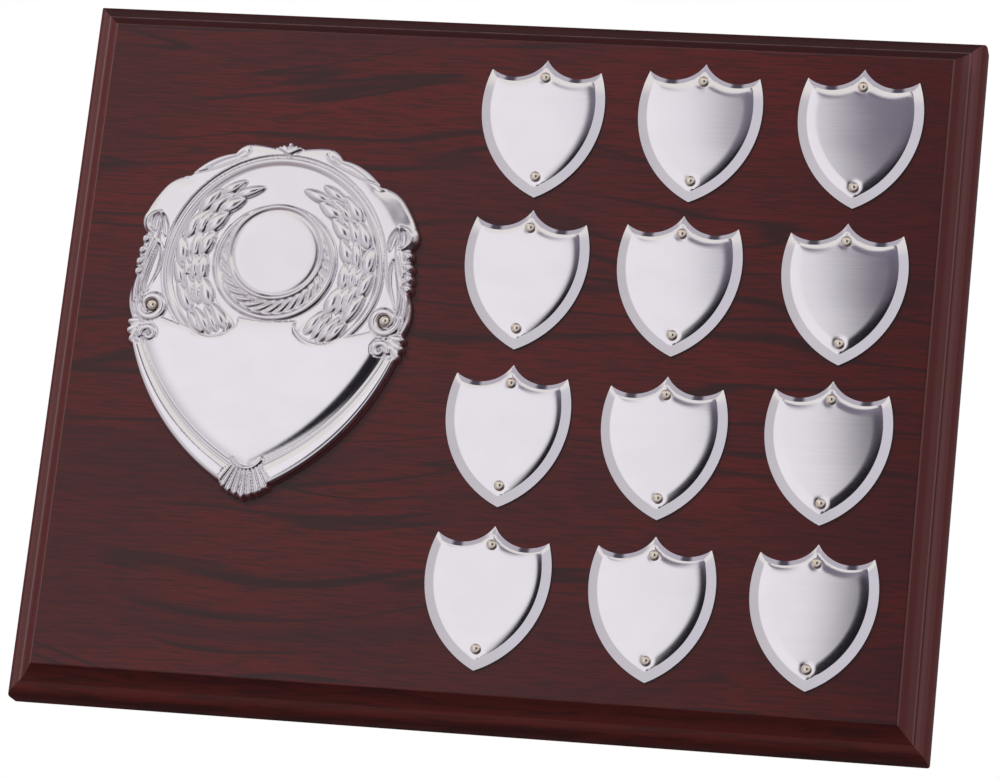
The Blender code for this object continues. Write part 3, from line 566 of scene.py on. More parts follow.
def new_mesh(name, points, faces, finish, smooth_angle=None):
    """A mesh from points in millimetres."""
    mesh = bpy.data.meshes.new(name)
    mesh.from_pydata([tuple(MM * value for value in point) for point in points], [], faces)
    mesh.materials.append(finish)
    mesh.shade_smooth()
    if smooth_angle is not None:
        mesh.set_sharp_from_angle(angle=math.radians(smooth_angle))
    return mesh


def new_object(name, mesh):
    obj = bpy.data.objects.new(name, mesh)
    bpy.context.scene.collection.objects.link(obj)
    return obj


def arc(start, end, sag, steps):
    """The points of an arc from start to end, without start, that bows sag to the left of its way."""
    du, dv = end[0] - start[0], end[1] - start[1]
    chord = math.hypot(du, dv)
    if abs(sag) < 1e-6:
        return [(start[0] + du * i / steps, start[1] + dv * i / steps) for i in range(1, steps + 1)]
    half_angle = 2 * math.atan(2 * sag / chord)
    radius = chord / 2 / math.sin(half_angle)
    centre = (
        (start[0] + end[0]) / 2 + dv / chord * radius * math.cos(half_angle),
        (start[1] + end[1]) / 2 - du / chord * radius * math.cos(half_angle),
    )
    first = math.atan2(start[1] - centre[1], start[0] - centre[0])
    return [
        (
            centre[0] + radius * math.cos(first - 2 * half_angle * i / steps),
            centre[1] + radius * math.sin(first - 2 * half_angle * i / steps),
        )
        for i in range(1, steps + 1)
    ]


def outline_of(half, step):
    """A closed clockwise outline from its right half, mirrored about u = 0."""
    points = [half[0][:2]]
    for before, (u, v, sag) in zip(half, half[1:]):
        length = math.hypot(u - before[0], v - before[1])
        points += arc(before[:2], (u, v), sag, max(2, round(length / step)))
    return points + [(-u, v) for u, v in reversed(points[1:-1])]


def smooth_path(points, pieces=6):
    """A Catmull-Rom curve through the points."""
    knots = [np.array(point) for point in points]
    ends = [2 * knots[0] - knots[1], *knots, 2 * knots[-1] - knots[-2]]
    path = []
    for a, b, c, d in zip(ends, ends[1:], ends[2:], ends[3:]):
        for t in np.arange(pieces) / pieces:
            path.append(0.5 * (2 * b + (c - a) * t + (2 * a - 5 * b + 4 * c - d) * t**2
                               + (3 * b - a - 3 * c + d) * t**3))
    return np.array([*path, ends[-2]])


def path_distance(u, v, path):
    """Each point's distance from a path, and how far along it the nearest place is, from 0 to 1."""
    nearest = np.full(u.shape, np.inf)
    along = np.zeros(u.shape)
    lengths = np.hypot(*np.diff(path, axis=0).T)
    starts = np.concatenate([[0.0], np.cumsum(lengths)])
    for a, b, length, start in zip(path, path[1:], lengths, starts):
        du, dv = (b - a) / length
        t = np.clip((u - a[0]) * du + (v - a[1]) * dv, 0, length)
        distance = np.hypot(u - a[0] - t * du, v - a[1] - t * dv)
        closer = distance < nearest
        nearest[closer] = distance[closer]
        along[closer] = (start + t[closer]) / starts[-1]
    return nearest, along


def round_over(share, power=0.7, crease=2.0):
    """The height of a rounded ridge, 1 at its crest and 0 at its foot, share of its half width away."""
    return np.clip(1 - np.abs(share) ** crease, 0, None) ** power


def raise_ridge(height, u, v, path, half_width, crest, foot=GROUND, power=0.7, crease=2.0):
    """Raises a rounded ridge along a path. half_width and crest may be functions of the way along it."""
    path = np.asarray(path, float)
    low, high = path.min(axis=0) - RIDGE_REACH, path.max(axis=0) + RIDGE_REACH
    inside = np.nonzero((u > low[0]) & (u < high[0]) & (v > low[1]) & (v < high[1]))
    distance, along = path_distance(u[inside], v[inside], path)
    width = half_width(along) if callable(half_width) else half_width
    top = crest(along) if callable(crest) else crest
    share = distance / np.maximum(width, 1e-6)
    ridge = foot + (top - foot) * round_over(share, power, crease)
    height[inside] = np.where(share < 1, np.maximum(height[inside], ridge), height[inside])


def sink_hollow(height, u, v, path, half_width, floor):
    """Sinks a flat-floored hollow along a path, pointed at both ends."""
    distance, along = path_distance(u, v, np.asarray(path, float))
    width = half_width * np.sin(math.pi * np.clip(along, 0.03, 0.97)) ** 0.5
    share = np.clip(distance / width, 0, 1)
    height[:] = np.where(share < 1, np.minimum(height, floor + (height - floor) * share**5), height)


def oval_inset(u, v, centre_v, half_width, upper, lower):
    """How far a point lies inside an oval whose upper and lower halves differ in height."""
    across = v - centre_v
    tall = np.where(across > 0, upper, lower)
    radius = np.maximum(np.hypot(u, across), 1e-6)
    return radius / np.maximum(np.hypot(u / half_width, across / tall), 1e-6) - radius


def panel_top(u):
    """Where the lower panel ends at the top: it dips under each branch."""
    level = LEVEL_V - LEVEL_SAG * np.clip(1 - (u / LEVEL_HALF_WIDTH) ** 2, 0, None)
    share = np.clip((u - POCKET_CENTRE[0]) / POCKET_SIZE[0], -1, 1)
    dip = POCKET_CENTRE[1] - POCKET_SIZE[1] * np.sqrt(1 - share**2)
    climb = CLIMB_START[1] + (u - CLIMB_START[0]) * CLIMB_SLOPE
    return np.where(u < LEVEL_HALF_WIDTH, level, np.where(u < CLIMB_START[0], dip, climb))


def rim_roll(into, width, crest_at, crest):
    """The height of a rim as wide as width, round outside its crest and sloping inside it."""
    outer = round_over((crest_at - into) / crest_at)
    inner = 1 - np.clip((into - crest_at) / (width - crest_at), 0, 1) ** RIM_SLOPE_POWER
    shape = np.where(into < crest_at, outer, inner)
    return np.where((into > 0) & (into < width), GROUND + (crest - GROUND) * shape, 0)


def rims(height, u, v):
    """The outer ring, the halo round the crescent and the disc with its rim."""
    ring = oval_inset(u, v, RING_CENTRE_V, RING_HALF_WIDTH, RING_UPPER, RING_LOWER)
    halo = oval_inset(u, v, HALO_CENTRE_V, HALO_HALF_WIDTH, HALO_HALF_HEIGHT, HALO_HALF_HEIGHT)
    disc = DISC_RADIUS - np.hypot(u, v - DISC_CENTRE_V)
    above = v > panel_top(np.abs(u))
    height[(ring > RING_RIM) & above] = GROUND
    roll = rim_roll(ring, RING_RIM, RING_CREST, RIM)
    height[above] = np.where(roll > 0, roll, height)[above]
    line = (np.abs(ring + RING_LINE_OUTSET) < RING_LINE_HALF_WIDTH) & above
    height[line] = np.minimum(height[line], GROOVE)
    height[halo > HALO_RIM] = GROUND
    roll = rim_roll(halo, HALO_RIM, HALO_CREST, RIM)
    height[:] = np.where(roll > 0, roll, height)
    rope(height, u, v, halo, disc)
    roll = rim_roll(disc + DISC_RIM, DISC_RIM, DISC_CREST, RIM)
    height[:] = np.where(roll > 0, roll, height)
    height[:] = np.where(disc > 0, DISC_TOP - DISC_DIP * np.exp(-disc / DISC_EDGE_WIDTH), height)


def rope(height, u, v, halo, disc):
    """The twisted rope that fills the crescent between the disc's rim and the halo."""
    inner, outer = -disc - DISC_RIM, halo - HALO_RIM
    width = np.maximum(inner + outer, ROPE_THINNEST)
    inside = (inner > 0) & (outer > 0) & (inner + outer > ROPE_THINNEST)
    radius = np.hypot(u, v - HALO_CENTRE_V)
    angle = np.arctan2(v - HALO_CENTRE_V, u)
    phase = ROPE_LOBES * (angle + ROPE_LEAN * np.log(np.maximum(radius, 1) / HALO_HALF_WIDTH)) / (2 * math.pi)
    across = 2 * (phase - np.floor(phase)) - 1
    share = np.clip(2 * inner / width - 1, -1, 1)
    lobes = round_over(across, 0.7) * round_over(ROPE_END * share, 0.5)
    height[:] = np.where(inside, ROPE_FLOOR + (PANEL - ROPE_FLOOR) * lobes, height)


def lay_leaf(height, u, v, foot, tip, widest):
    """Lays a plump leaf over whatever lies there, its foot a little lower than its body."""
    length = math.dist(foot, tip)
    du, dv = (tip[0] - foot[0]) / length, (tip[1] - foot[1]) / length
    along = ((u - foot[0]) * du + (v - foot[1]) * dv) / length
    across = np.abs((u - foot[0]) * dv - (v - foot[1]) * du)
    narrowing = np.sin(math.pi * np.clip(along, 0.001, 0.999) ** 0.85) ** 0.6
    share = across / (widest * narrowing)
    edge = LEAF_EDGE - LEAF_SINK * (1 - np.clip(along / LEAF_FULL, 0, 1)) ** 2
    body = edge + (LEAF - LEAF_EDGE) * narrowing * round_over(share, LEAF_POWER, LEAF_CREASE)
    inside = (share < 1) & (along > 0) & (along < 1)
    height[inside] = body[inside]


def branch(height, u, v):
    """A laurel branch of lapped leaves: the tips of the lower ones lie over the feet of those above."""
    bed = np.full(u.shape, GROUND)
    raise_ridge(bed, u, v, smooth_path(BRANCH), BRANCH_HALF_WIDTH, BRANCH_BODY, power=0.5)
    for leaf in reversed(LEAVES):
        lay_leaf(bed, u, v, *leaf)
    growing = (bed != GROUND) & (v > panel_top(u) + POCKET_GAP)
    height[growing] = bed[growing]


def scroll(height, u, v, centre, radius, eye, first, turns, sense, shrink):
    """A ridge that winds inwards round a centre to a flat eye."""
    du, dv = u - centre[0], v - centre[1]
    distance = np.hypot(du, dv)
    angle = sense * (np.degrees(np.arctan2(dv, du)) - first) / 360 % 1
    best = np.zeros(u.shape)
    for turn in range(math.ceil(turns) + 1):
        way = angle + turn
        outer = radius * np.exp(-shrink * way**2)
        inner = radius * np.exp(-shrink * (way + 1) ** 2)
        across = (distance - (outer + inner) / 2) / ((outer - inner) / 2)
        best = np.where((np.abs(across) < 1) & (way < turns), round_over(across, SCROLL_POWER), best)
    within = distance < radius * np.exp(-shrink * angle**2)
    height[within] = np.minimum(height, VALLEY)[within]
    height[:] = np.maximum(height, np.where(best > 0, VALLEY + (SCROLL - VALLEY) * best, 0))
    height[distance < eye] = SCROLL_EYE


def border(height, u, v):
    """The lower panel with its pillowed edge, and the rolls and thin bead that frame it."""
    inset = BORDER_RADIUS - np.hypot(u - BORDER_CENTRE[0], v - BORDER_CENTRE[1])
    down = np.clip((BORDER_TOP_V - v) / (BORDER_TOP_V - BORDER_FOOT_V), 0, 1)
    width = BORDER_WIDTHS[0] + (BORDER_WIDTHS[1] - BORDER_WIDTHS[0]) * down
    below_top = panel_top(u) - v
    panel = (below_top > 0) & (inset > width) & (u < PANEL_END_U)
    top = PANEL
    for into, slope, roll_width in (
        (inset - width, PANEL_SIDE_SLOPE, PANEL_SIDE_ROLL), (below_top, PANEL_TOP_SLOPE, PANEL_TOP_ROLL)
    ):
        left = 1 - np.clip(into / roll_width, 0, 1)
        top = top - slope * roll_width / (PANEL_ROLL_POWER + 1) * left ** (PANEL_ROLL_POWER + 1)
    height[:] = np.where(panel, top, height)
    shown = np.clip((BORDER_TOP_V - v) / BORDER_FADE + 1, 0, 1)
    rolls = np.full(u.shape, BORDER_FLOOR)
    for middle, half_width, crest, fades in BORDER_ROLLS:
        ridge = (crest - BORDER_FLOOR) * round_over((inset / width - middle) / half_width)
        rolls = np.maximum(rolls, BORDER_FLOOR + ridge * (shown if fades else 1))
    height[:] = np.where((inset < width) & (v < BORDER_HEAD_V), rolls, height)


def shell(height, u, v):
    """A fan of flutes at the foot, under a curved collar."""
    angle = np.degrees(np.arctan2(u, SHELL_CENTRE_V - v))
    radius = np.hypot(u, v - SHELL_CENTRE_V)
    flute = np.clip(np.round(angle / SHELL_ANGLE), 0, len(SHELL_REACH) - 1).astype(int)
    across = (angle / SHELL_ANGLE - flute) * 2
    inside = (radius > SHELL_START) & (np.abs(across) <= 1) & (radius < np.array(SHELL_REACH)[flute] + 1)
    fluted = FLUTE_FLOOR + (FLUTE_TOP - FLUTE_FLOOR) * round_over(across, 0.5, FLUTE_CREASE)
    height[:] = np.where(inside, fluted, height)
    raise_ridge(height, u, v, smooth_path(COLLAR, 4), COLLAR_HALF_WIDTH, LEAF, VALLEY)


def relief(u, v, inset):
    """The main shield's height at each point, inset from its outline. Only the rope isn't mirrored."""
    side, u = u, np.abs(u)
    shoulder = np.clip((v - SHOULDER_FOOT_V) / SHOULDER_RISE, 0, 1)
    rounded = np.sqrt(1 - (1 - np.clip(inset / SHOULDER_ROUND, 0, 1)) ** 2)
    height = FLANK + (CUSHION - FLANK) * shoulder * (2 * rounded - 1)
    border(height, u, v)
    rims(height, side, v)
    for path, half_width, crest in STRANDS:
        raise_ridge(height, u, v, smooth_path(path, 4), half_width, crest, VALLEY)
    raise_ridge(height, u, v, smooth_path(ROLLED_LEAF, 4), ROLLED_LEAF_HALF_WIDTH, RIM, GROOVE)
    away, _ = path_distance(u, v, smooth_path(FOLD, 4))
    height -= FOLD_DEPTH * round_over(np.clip(away / FOLD_HALF_WIDTH, 0, 1), 2.0)
    for path, half_width, floor in HOLLOWS:
        sink_hollow(height, u, v, path, half_width, floor)
    for bead_u, bead_v in SIDE_BEADS:
        away = np.hypot(u - bead_u, v - bead_v) / BEAD_RADIUS
        height[:] = np.where(away < 1, BEAD_FOOT + (ROLL - BEAD_FOOT) * round_over(away, 0.5), height)
    branch(height, u, v)
    scroll(height, u, v, *LARGE_SCROLL)
    scroll(height, u, v, *SMALL_SCROLL)
    low, high = PALMETTE_HALF_WIDTHS
    for tip in PALMETTE_TIPS:
        raise_ridge(height, u, v, [PALMETTE_FOOT, tip], lambda t: low + (high - low) * t, LEAF, VALLEY)
    shell(height, u, v)
    rounded = np.sqrt(1 - (1 - np.clip(inset / EDGE_ROUND, 0, 1)) ** 2)
    return EDGE + (height - EDGE) * rounded


def inside_outline(u, v, outline):
    inside = np.zeros(u.shape, bool)
    for (au, av), (bu, bv) in zip(outline, np.roll(outline, -1, axis=0)):
        if av != bv:
            crosses = (av > v) != (bv > v)
            inside ^= crosses & (u < au + (v - av) * (bu - au) / (bv - av))
    return inside


def blurred(grid, sigma):
    """A grid of heights softened over sigma grid steps."""
    reach = math.ceil(3 * sigma)
    weights = np.exp(-0.5 * (np.arange(-reach, reach + 1) / sigma) ** 2)
    weights /= weights.sum()
    for axis in (0, 1):
        grid = np.apply_along_axis(lambda line: np.convolve(line, weights, "same"), axis, grid)
    return grid


def relief_surface():
    """Points and triangles of the main shield's front, closest where the relief turns sharply."""
    outline = np.array(outline_of(RIGHT_OUTLINE, OUTLINE_STEP))
    margin = 4 * GRID_STEP
    low, high = outline.min(axis=0) - margin, outline.max(axis=0) + margin
    across, up = np.arange(low[0], high[0], GRID_STEP), np.arange(low[1], high[1], GRID_STEP)
    u, v = np.meshgrid(across, up)
    closed = np.vstack([outline, outline[:1]])
    inset, _ = path_distance(u.ravel(), v.ravel(), closed)
    inset = inset.reshape(u.shape)
    inside = inside_outline(u, v, outline)
    height = np.where(inside, relief(u, v, inset), EDGE)
    height = blurred(height, SOFTNESS / GRID_STEP)

    bend = np.zeros(u.shape)
    for axis in (0, 1):
        bend = np.maximum(bend, np.abs(np.roll(height, 1, axis) + np.roll(height, -1, axis) - 2 * height))
    keep = np.zeros(u.shape, bool)
    rows, columns = np.indices(u.shape)
    for step, least in COARSE_STEPS:
        turning = blurred(bend, 1.5 * step) > least * step**1.5 * GRID_STEP
        keep |= (rows % step == 0) & (columns % step == 0) & (turning if least else True)
    keep &= inside & (inset > 0.6 * GRID_STEP)
    flat = [*map(tuple, outline), *zip(u[keep], v[keep])]
    edges = [(i, (i + 1) % len(outline)) for i in range(len(outline))]
    found, _, faces, origins, _, _ = delaunay_2d_cdt(flat, edges, [], 1, WELD)
    heights = np.concatenate([np.full(len(outline), EDGE), height[keep]])
    points = [(p.x, p.y, heights[origin[0]]) for p, origin in zip(found, origins)]
    return points, [tuple(face) for face in faces]


def backed(points, faces):
    """Closes a front surface with straight walls down to a flat back at height 0."""
    edges = {(a, b) for face in faces for a, b in zip(face, face[1:] + face[:1])}
    rim = {a: b for a, b in edges if (b, a) not in edges}
    loop = [next(iter(rim))]
    while rim[loop[-1]] != loop[0]:
        loop.append(rim[loop[-1]])
    first = len(points)
    points = points + [(points[i][0], points[i][1], 0.0) for i in loop]
    below = {top: first + i for i, top in enumerate(loop)}
    walls = [(b, a, below[a], below[b]) for a, b in rim.items()]
    return points, faces + walls + [tuple(below[i] for i in reversed(loop))]


def board_profile():
    """The moulding from the back to the flat front, as inset from the side and height above the back."""
    points = [(0.0, 0.0), (0.0, BOARD_LIP)]
    rise = BOARD_ROUND_TOP - BOARD_LIP
    for i in range(1, BOARD_CURVE_STEPS + 1):
        angle = 0.5 * math.pi * i / BOARD_CURVE_STEPS
        points.append((BOARD_ROUND_WIDTH * (1 - math.cos(angle)), BOARD_LIP + rise * math.sin(angle)))
    cove_foot = BOARD_ROUND_TOP + BOARD_STEP
    cove_top = BOARD_THICKNESS - BOARD_ARRIS
    cove_start = BOARD_ROUND_WIDTH + BOARD_STEP
    for i in range(BOARD_CURVE_STEPS + 1):
        share = i / BOARD_CURVE_STEPS
        climb = (1 - BOARD_COVE_HOLLOW) * share + BOARD_COVE_HOLLOW * share**2
        inset = cove_start + (BOARD_MOULDING - cove_start) * share
        points.append((inset, cove_foot + (cove_top - cove_foot) * climb))
    for i in range(1, BOARD_ARRIS_STEPS + 1):
        angle = 0.5 * math.pi * i / BOARD_ARRIS_STEPS
        inset = BOARD_MOULDING + BOARD_ARRIS * (1 - math.cos(angle))
        points.append((inset, cove_top + BOARD_ARRIS * math.sin(angle)))
    points.append((inset + BOARD_FLAT_RING, BOARD_THICKNESS))
    return points


def make_board(wood):
    """The moulding's profile carried round the board's four corners, with a flat front and back."""
    points, faces = [], []
    profile = board_profile()
    corners = [(1, 1), (-1, 1), (-1, -1), (1, -1)]
    for inset, height in profile:
        radius = max(BOARD_CORNER_RADIUS - inset, BOARD_MITRE_RADIUS)
        half_width = BOARD_WIDTH / 2 - inset - radius
        half_height = BOARD_HEIGHT / 2 - inset - radius
        for corner, (side, end) in enumerate(corners):
            for i in range(BOARD_CORNER_STEPS + 1):
                angle = math.radians(90 * (corner + i / BOARD_CORNER_STEPS))
                x = side * half_width + radius * math.cos(angle)
                z = end * half_height + radius * math.sin(angle)
                points.append((x, -height, z))
    count = len(corners) * (BOARD_CORNER_STEPS + 1)
    faces.append(tuple(reversed(range(count))))
    for ring in range(len(profile) - 1):
        for i in range(count):
            a, b = ring * count + i, ring * count + (i + 1) % count
            faces.append((a, b, b + count, a + count))
    faces.append(tuple(range(len(points) - count, len(points))))
    return new_object("moulded_board", new_mesh("moulded_board", points, faces, wood, 30))


def leaning(points, centre, lean):
    """Points of a metal piece, u, v and height, as x, y and z on the board's front."""
    turn = math.radians(lean)
    front = BOARD_THICKNESS + CLEARANCE
    return [
        (
            centre[0] + u * math.cos(turn) + v * math.sin(turn),
            -front - h,
            centre[1] - u * math.sin(turn) + v * math.cos(turn),
        )
        for u, v, h in points
    ]


def make_main_shield(silver):
    points, faces = backed(*relief_surface())
    mesh = new_mesh("relief_shield", leaning(points, SHIELD_CENTRE, SHIELD_LEAN), faces, silver, 60)
    return new_object("relief_shield", mesh)


def side_ring(top_inset, inset, steps):
    """The side shield's outline moved inwards: the same arcs with other radii, cut where they meet."""
    top_u, top_v = SIDE_TOP_CENTRE
    flank_u, flank_v = SIDE_FLANK_CENTRE
    top_radius = SIDE_TOP_RADIUS + top_inset
    flank_radius = SIDE_FLANK_RADIUS - inset
    peak = (0.0, top_v - math.sqrt(top_radius**2 - top_u**2))
    tip = (0.0, flank_v - math.sqrt(flank_radius**2 - flank_u**2))
    apart_u, apart_v = top_u - flank_u, top_v - flank_v
    apart = math.hypot(apart_u, apart_v)
    along = (flank_radius**2 - top_radius**2 + apart**2) / (2 * apart)
    across = math.sqrt(flank_radius**2 - along**2)
    ear = (
        flank_u + (apart_u * along + apart_v * across) / apart,
        flank_v + (apart_v * along - apart_u * across) / apart,
    )
    half = arc_about(SIDE_TOP_CENTRE, peak, ear, steps[0])
    half += arc_about(SIDE_FLANK_CENTRE, ear, tip, steps[1])[1:]
    return half + [(-u, v) for u, v in reversed(half[1:-1])]


def arc_about(centre, start, end, steps):
    """Points from start to end on a circle about a centre."""
    radius = math.hypot(start[0] - centre[0], start[1] - centre[1])
    first = math.atan2(start[1] - centre[1], start[0] - centre[0])
    last = math.atan2(end[1] - centre[1], end[0] - centre[0])
    angles = [first + (last - first) * i / steps for i in range(steps + 1)]
    return [(centre[0] + radius * math.cos(angle), centre[1] + radius * math.sin(angle)) for angle in angles]


def side_insets(u, v):
    """How far a point lies inside each of the side shield's two top arcs and two flanks."""
    (top_u, top_v), (flank_u, flank_v) = SIDE_TOP_CENTRE, SIDE_FLANK_CENTRE
    tops = [np.hypot(side - top_u, v - top_v) - SIDE_TOP_RADIUS for side in (u, -u)]
    flanks = [SIDE_FLANK_RADIUS - np.hypot(side - flank_u, v - flank_v) for side in (u, -u)]
    return tops, flanks


def soft_least(values, softness):
    return -softness * np.log(sum(np.exp(-value / softness) for value in values))


def inside_panel(u, v):
    """How far a point lies inside the side shield's raised panel."""
    tops, flanks = side_insets(u, v)
    insets = [top - SIDE_TOP_RIM_WIDTH for top in tops] + [flank - SIDE_RIM_WIDTH for flank in flanks]
    return soft_least(insets, SIDE_SOFT_MITRE)


def side_height(u, v):
    """The side shield's height: a bevelled rim, a panel with rolled edges and a dimple round each pin."""
    tops, flanks = side_insets(u, v)
    shares = [top / SIDE_TOP_RIM_WIDTH for top in tops] + [flank / SIDE_RIM_WIDTH for flank in flanks]
    height = SIDE_EDGE + SIDE_RIM_RISE * np.clip(soft_least(shares, SIDE_MITRE), 0, 1)
    into = inside_panel(u, v)
    power = SIDE_ROLL_POWER + 1
    rolled = 1 - (1 - np.clip(into / SIDE_ROLL_WIDTH, 0, 1)) ** power
    above_foot = np.clip((v - SIDE_FOOT_V[0]) / (SIDE_FOOT_V[1] - SIDE_FOOT_V[0]), 0, 1)
    above_foot = above_foot**2 * (3 - 2 * above_foot)
    slope = SIDE_ROLL_SLOPE * (SIDE_FOOT_SHARE + (1 - SIDE_FOOT_SHARE) * above_foot)
    height = height + slope * SIDE_ROLL_WIDTH / power * rolled
    dome = SIDE_DOME_RISE * (1 - (u / SIDE_DOME_HALF_WIDTH) ** 2)
    height = height + dome * np.clip(into / SIDE_ROLL_WIDTH, 0, 1)
    for _, pin_v in SIDE_PINS:
        away = np.clip(np.hypot(u, v - pin_v) / DIMPLE_RADIUS, 0, 1)
        height = height - DIMPLE_DEPTH * (0.5 + 0.5 * np.cos(math.pi * away))
    return height


def side_shield_mesh(silver):
    """One side shield about its own middle, in its own plane."""
    outline = side_ring(0.0, 0.0, SIDE_OUTLINE_STEPS)
    insets = [(share * SIDE_TOP_RIM_WIDTH, share * SIDE_RIM_WIDTH) for share in SIDE_RIM_SHARES]
    insets += [(SIDE_TOP_RIM_WIDTH + into, SIDE_RIM_WIDTH + into) for into in SIDE_RINGS]
    pins = [(0.0, pin_v) for _, pin_v in SIDE_PINS]

    def clear(point):
        return min(math.dist(point, pin) for pin in pins) > DIMPLE_RINGS[-1] + DIMPLE_CLEAR

    flat = list(outline)
    edges = [(i, (i + 1) % len(outline)) for i in range(len(outline))]
    for top, flank in insets:
        ring = side_ring(top, flank, SIDE_OUTLINE_STEPS)
        kept = [i for i, point in enumerate(ring) if clear(point)]
        numbers = {i: len(flat) + n for n, i in enumerate(kept)}
        flat += [ring[i] for i in kept]
        pairs = [(i, (i + 1) % len(ring)) for i in kept]
        edges += [(numbers[i], numbers[after]) for i, after in pairs if after in numbers]
    across, up = (np.arange(-reach, reach, SIDE_GRID) for reach in SIDE_REACH)
    u, v = (grid.ravel() for grid in np.meshgrid(across, up))
    deep = inside_panel(u, v) > SIDE_RINGS[-1] + 0.5 * SIDE_GRID
    flat += [point for point in zip(u[deep], v[deep]) if clear(point)]
    for pin_u, pin_v in pins:
        flat.append((pin_u, pin_v))
        for radius in DIMPLE_RINGS:
            angles = [2 * math.pi * i / DIMPLE_SIDES for i in range(DIMPLE_SIDES)]
            flat += [(pin_u + radius * math.cos(angle), pin_v + radius * math.sin(angle)) for angle in angles]
    found, _, faces, origins, _, _ = delaunay_2d_cdt(flat, edges, [], 1, WELD)
    place = np.array([(p.x, p.y) for p in found])
    height = side_height(place[:, 0], place[:, 1])
    for i, origin in enumerate(origins):
        if origin[0] < len(outline):
            height[i] = SIDE_EDGE
    points, faces = backed([(p.x, p.y, h) for p, h in zip(found, height)], [tuple(face) for face in faces])
    return new_mesh("side shield", [(u, -h, v) for u, v, h in points], faces, silver, 50)


def socket_named(tree, name):
    return next(item.identifier for item in tree.interface.items_tree if item.name == name)


class Copies:
    """A Geometry Nodes tree that puts copies of a shape onto points and gives them all one finish."""

    def __init__(self, name, inputs):
        self.tree = bpy.data.node_groups.new(name, "GeometryNodeTree")
        self.new_socket("Geometry", "NodeSocketGeometry")
        for label, (kind, value) in inputs.items():
            self.new_socket(label, kind, value)
        self.new_socket("Finish", "NodeSocketMaterial")
        self.tree.interface.new_socket("Geometry", in_out="OUTPUT", socket_type="NodeSocketGeometry")
        self.start = self.node("NodeGroupInput")
        end = self.node("NodeGroupOutput")
        self.copies = self.node("GeometryNodeInstanceOnPoints")
        real = self.node("GeometryNodeRealizeInstances")
        finish = self.node("GeometryNodeSetMaterial")
        self.link(self.start, "Geometry", self.copies, "Points")
        self.link(self.copies, "Instances", real, "Geometry")
        self.link(real, "Geometry", finish, "Geometry")
        self.link(self.start, "Finish", finish, "Material")
        self.link(finish, "Geometry", end, "Geometry")

    def new_socket(self, label, kind, value=None):
        socket = self.tree.interface.new_socket(label, in_out="INPUT", socket_type=kind)
        if value is not None:
            socket.default_value = value

    def node(self, kind):
        return self.tree.nodes.new(kind)

    def link(self, before, output, after, socket):
        self.tree.links.new(before.outputs[output], after.inputs[socket])


def copies_tree():
    """Copies one object's shape onto each point, turned by the point's lean."""
    shields = Copies("pinned copies", {"Shape": ("NodeSocketObject", None)})
    shape = shields.node("GeometryNodeObjectInfo")
    lean = shields.node("GeometryNodeInputNamedAttribute")
    lean.data_type = "FLOAT"
    lean.inputs["Name"].default_value = "lean"
    turn = shields.node("ShaderNodeCombineXYZ")
    shields.link(shields.start, "Shape", shape, "Object")
    shields.link(lean, "Attribute", turn, "Y")
    shields.link(shape, "Geometry", shields.copies, "Instance")
    shields.link(turn, "Vector", shields.copies, "Rotation")
    return shields.tree


def pins_tree():
    """A round-headed pin at each point: a ball flattened to the head's rise."""
    sizes = {
        "Radius": ("NodeSocketFloat", MM * PIN_RADIUS),
        "Rise": ("NodeSocketFloat", MM * PIN_RISE),
    }
    pins = Copies("pin heads", sizes)
    ball = pins.node("GeometryNodeMeshIcoSphere")
    ball.inputs["Radius"].default_value = 1.0
    ball.inputs["Subdivisions"].default_value = PIN_SUBDIVISIONS
    size = pins.node("ShaderNodeCombineXYZ")
    flatten = pins.node("GeometryNodeTransform")
    smooth = pins.node("GeometryNodeSetShadeSmooth")
    for label, axis in (("Radius", "X"), ("Rise", "Y"), ("Radius", "Z")):
        pins.link(pins.start, label, size, axis)
    pins.link(ball, "Mesh", flatten, "Geometry")
    pins.link(size, "Vector", flatten, "Scale")
    pins.link(flatten, "Geometry", smooth, "Geometry")
    pins.link(smooth, "Geometry", pins.copies, "Instance")
    return pins.tree


def grown(name, tree, points, inputs, leans=None):
    """Runs a tree over points in millimetres and keeps its result as a plain mesh."""
    mesh = bpy.data.meshes.new(name)
    mesh.from_pydata([tuple(MM * value for value in point) for point in points], [], [])
    if leans is not None:
        layer = mesh.attributes.new("lean", "FLOAT", "POINT")
        layer.data.foreach_set("value", [math.radians(lean) for lean in leans])
    obj = new_object(name, mesh)
    modifier = obj.modifiers.new("Grow", "NODES")
    modifier.node_group = tree
    for socket, value in inputs.items():
        modifier[socket_named(tree, socket)] = value
    evaluated = obj.evaluated_get(bpy.context.evaluated_depsgraph_get())
    result = bpy.data.meshes.new_from_object(evaluated)
    obj.modifiers.clear()
    obj.data = result
    return obj


def side_places():
    """Where each side shield sits, by row and column: across, up and lean."""
    return {
        (row, column): (COLUMNS[column - 1] + across, ROWS[row - 1] + up, lean)
        for (row, column), (across, up, lean) in SIDE_NUDGES.items()
    }


def make_side_shields(silver):
    helper = new_object("side shield", side_shield_mesh(silver))
    front = -(BOARD_THICKNESS + CLEARANCE)
    places = list(side_places().values())
    points = [(x, front, z) for x, z, _ in places]
    leans = [lean for _, _, lean in places]
    shields = grown("side_shields", copies_tree(), points, {"Shape": helper, "Finish": silver}, leans)
    bpy.data.objects.remove(helper, do_unlink=True)
    return shields


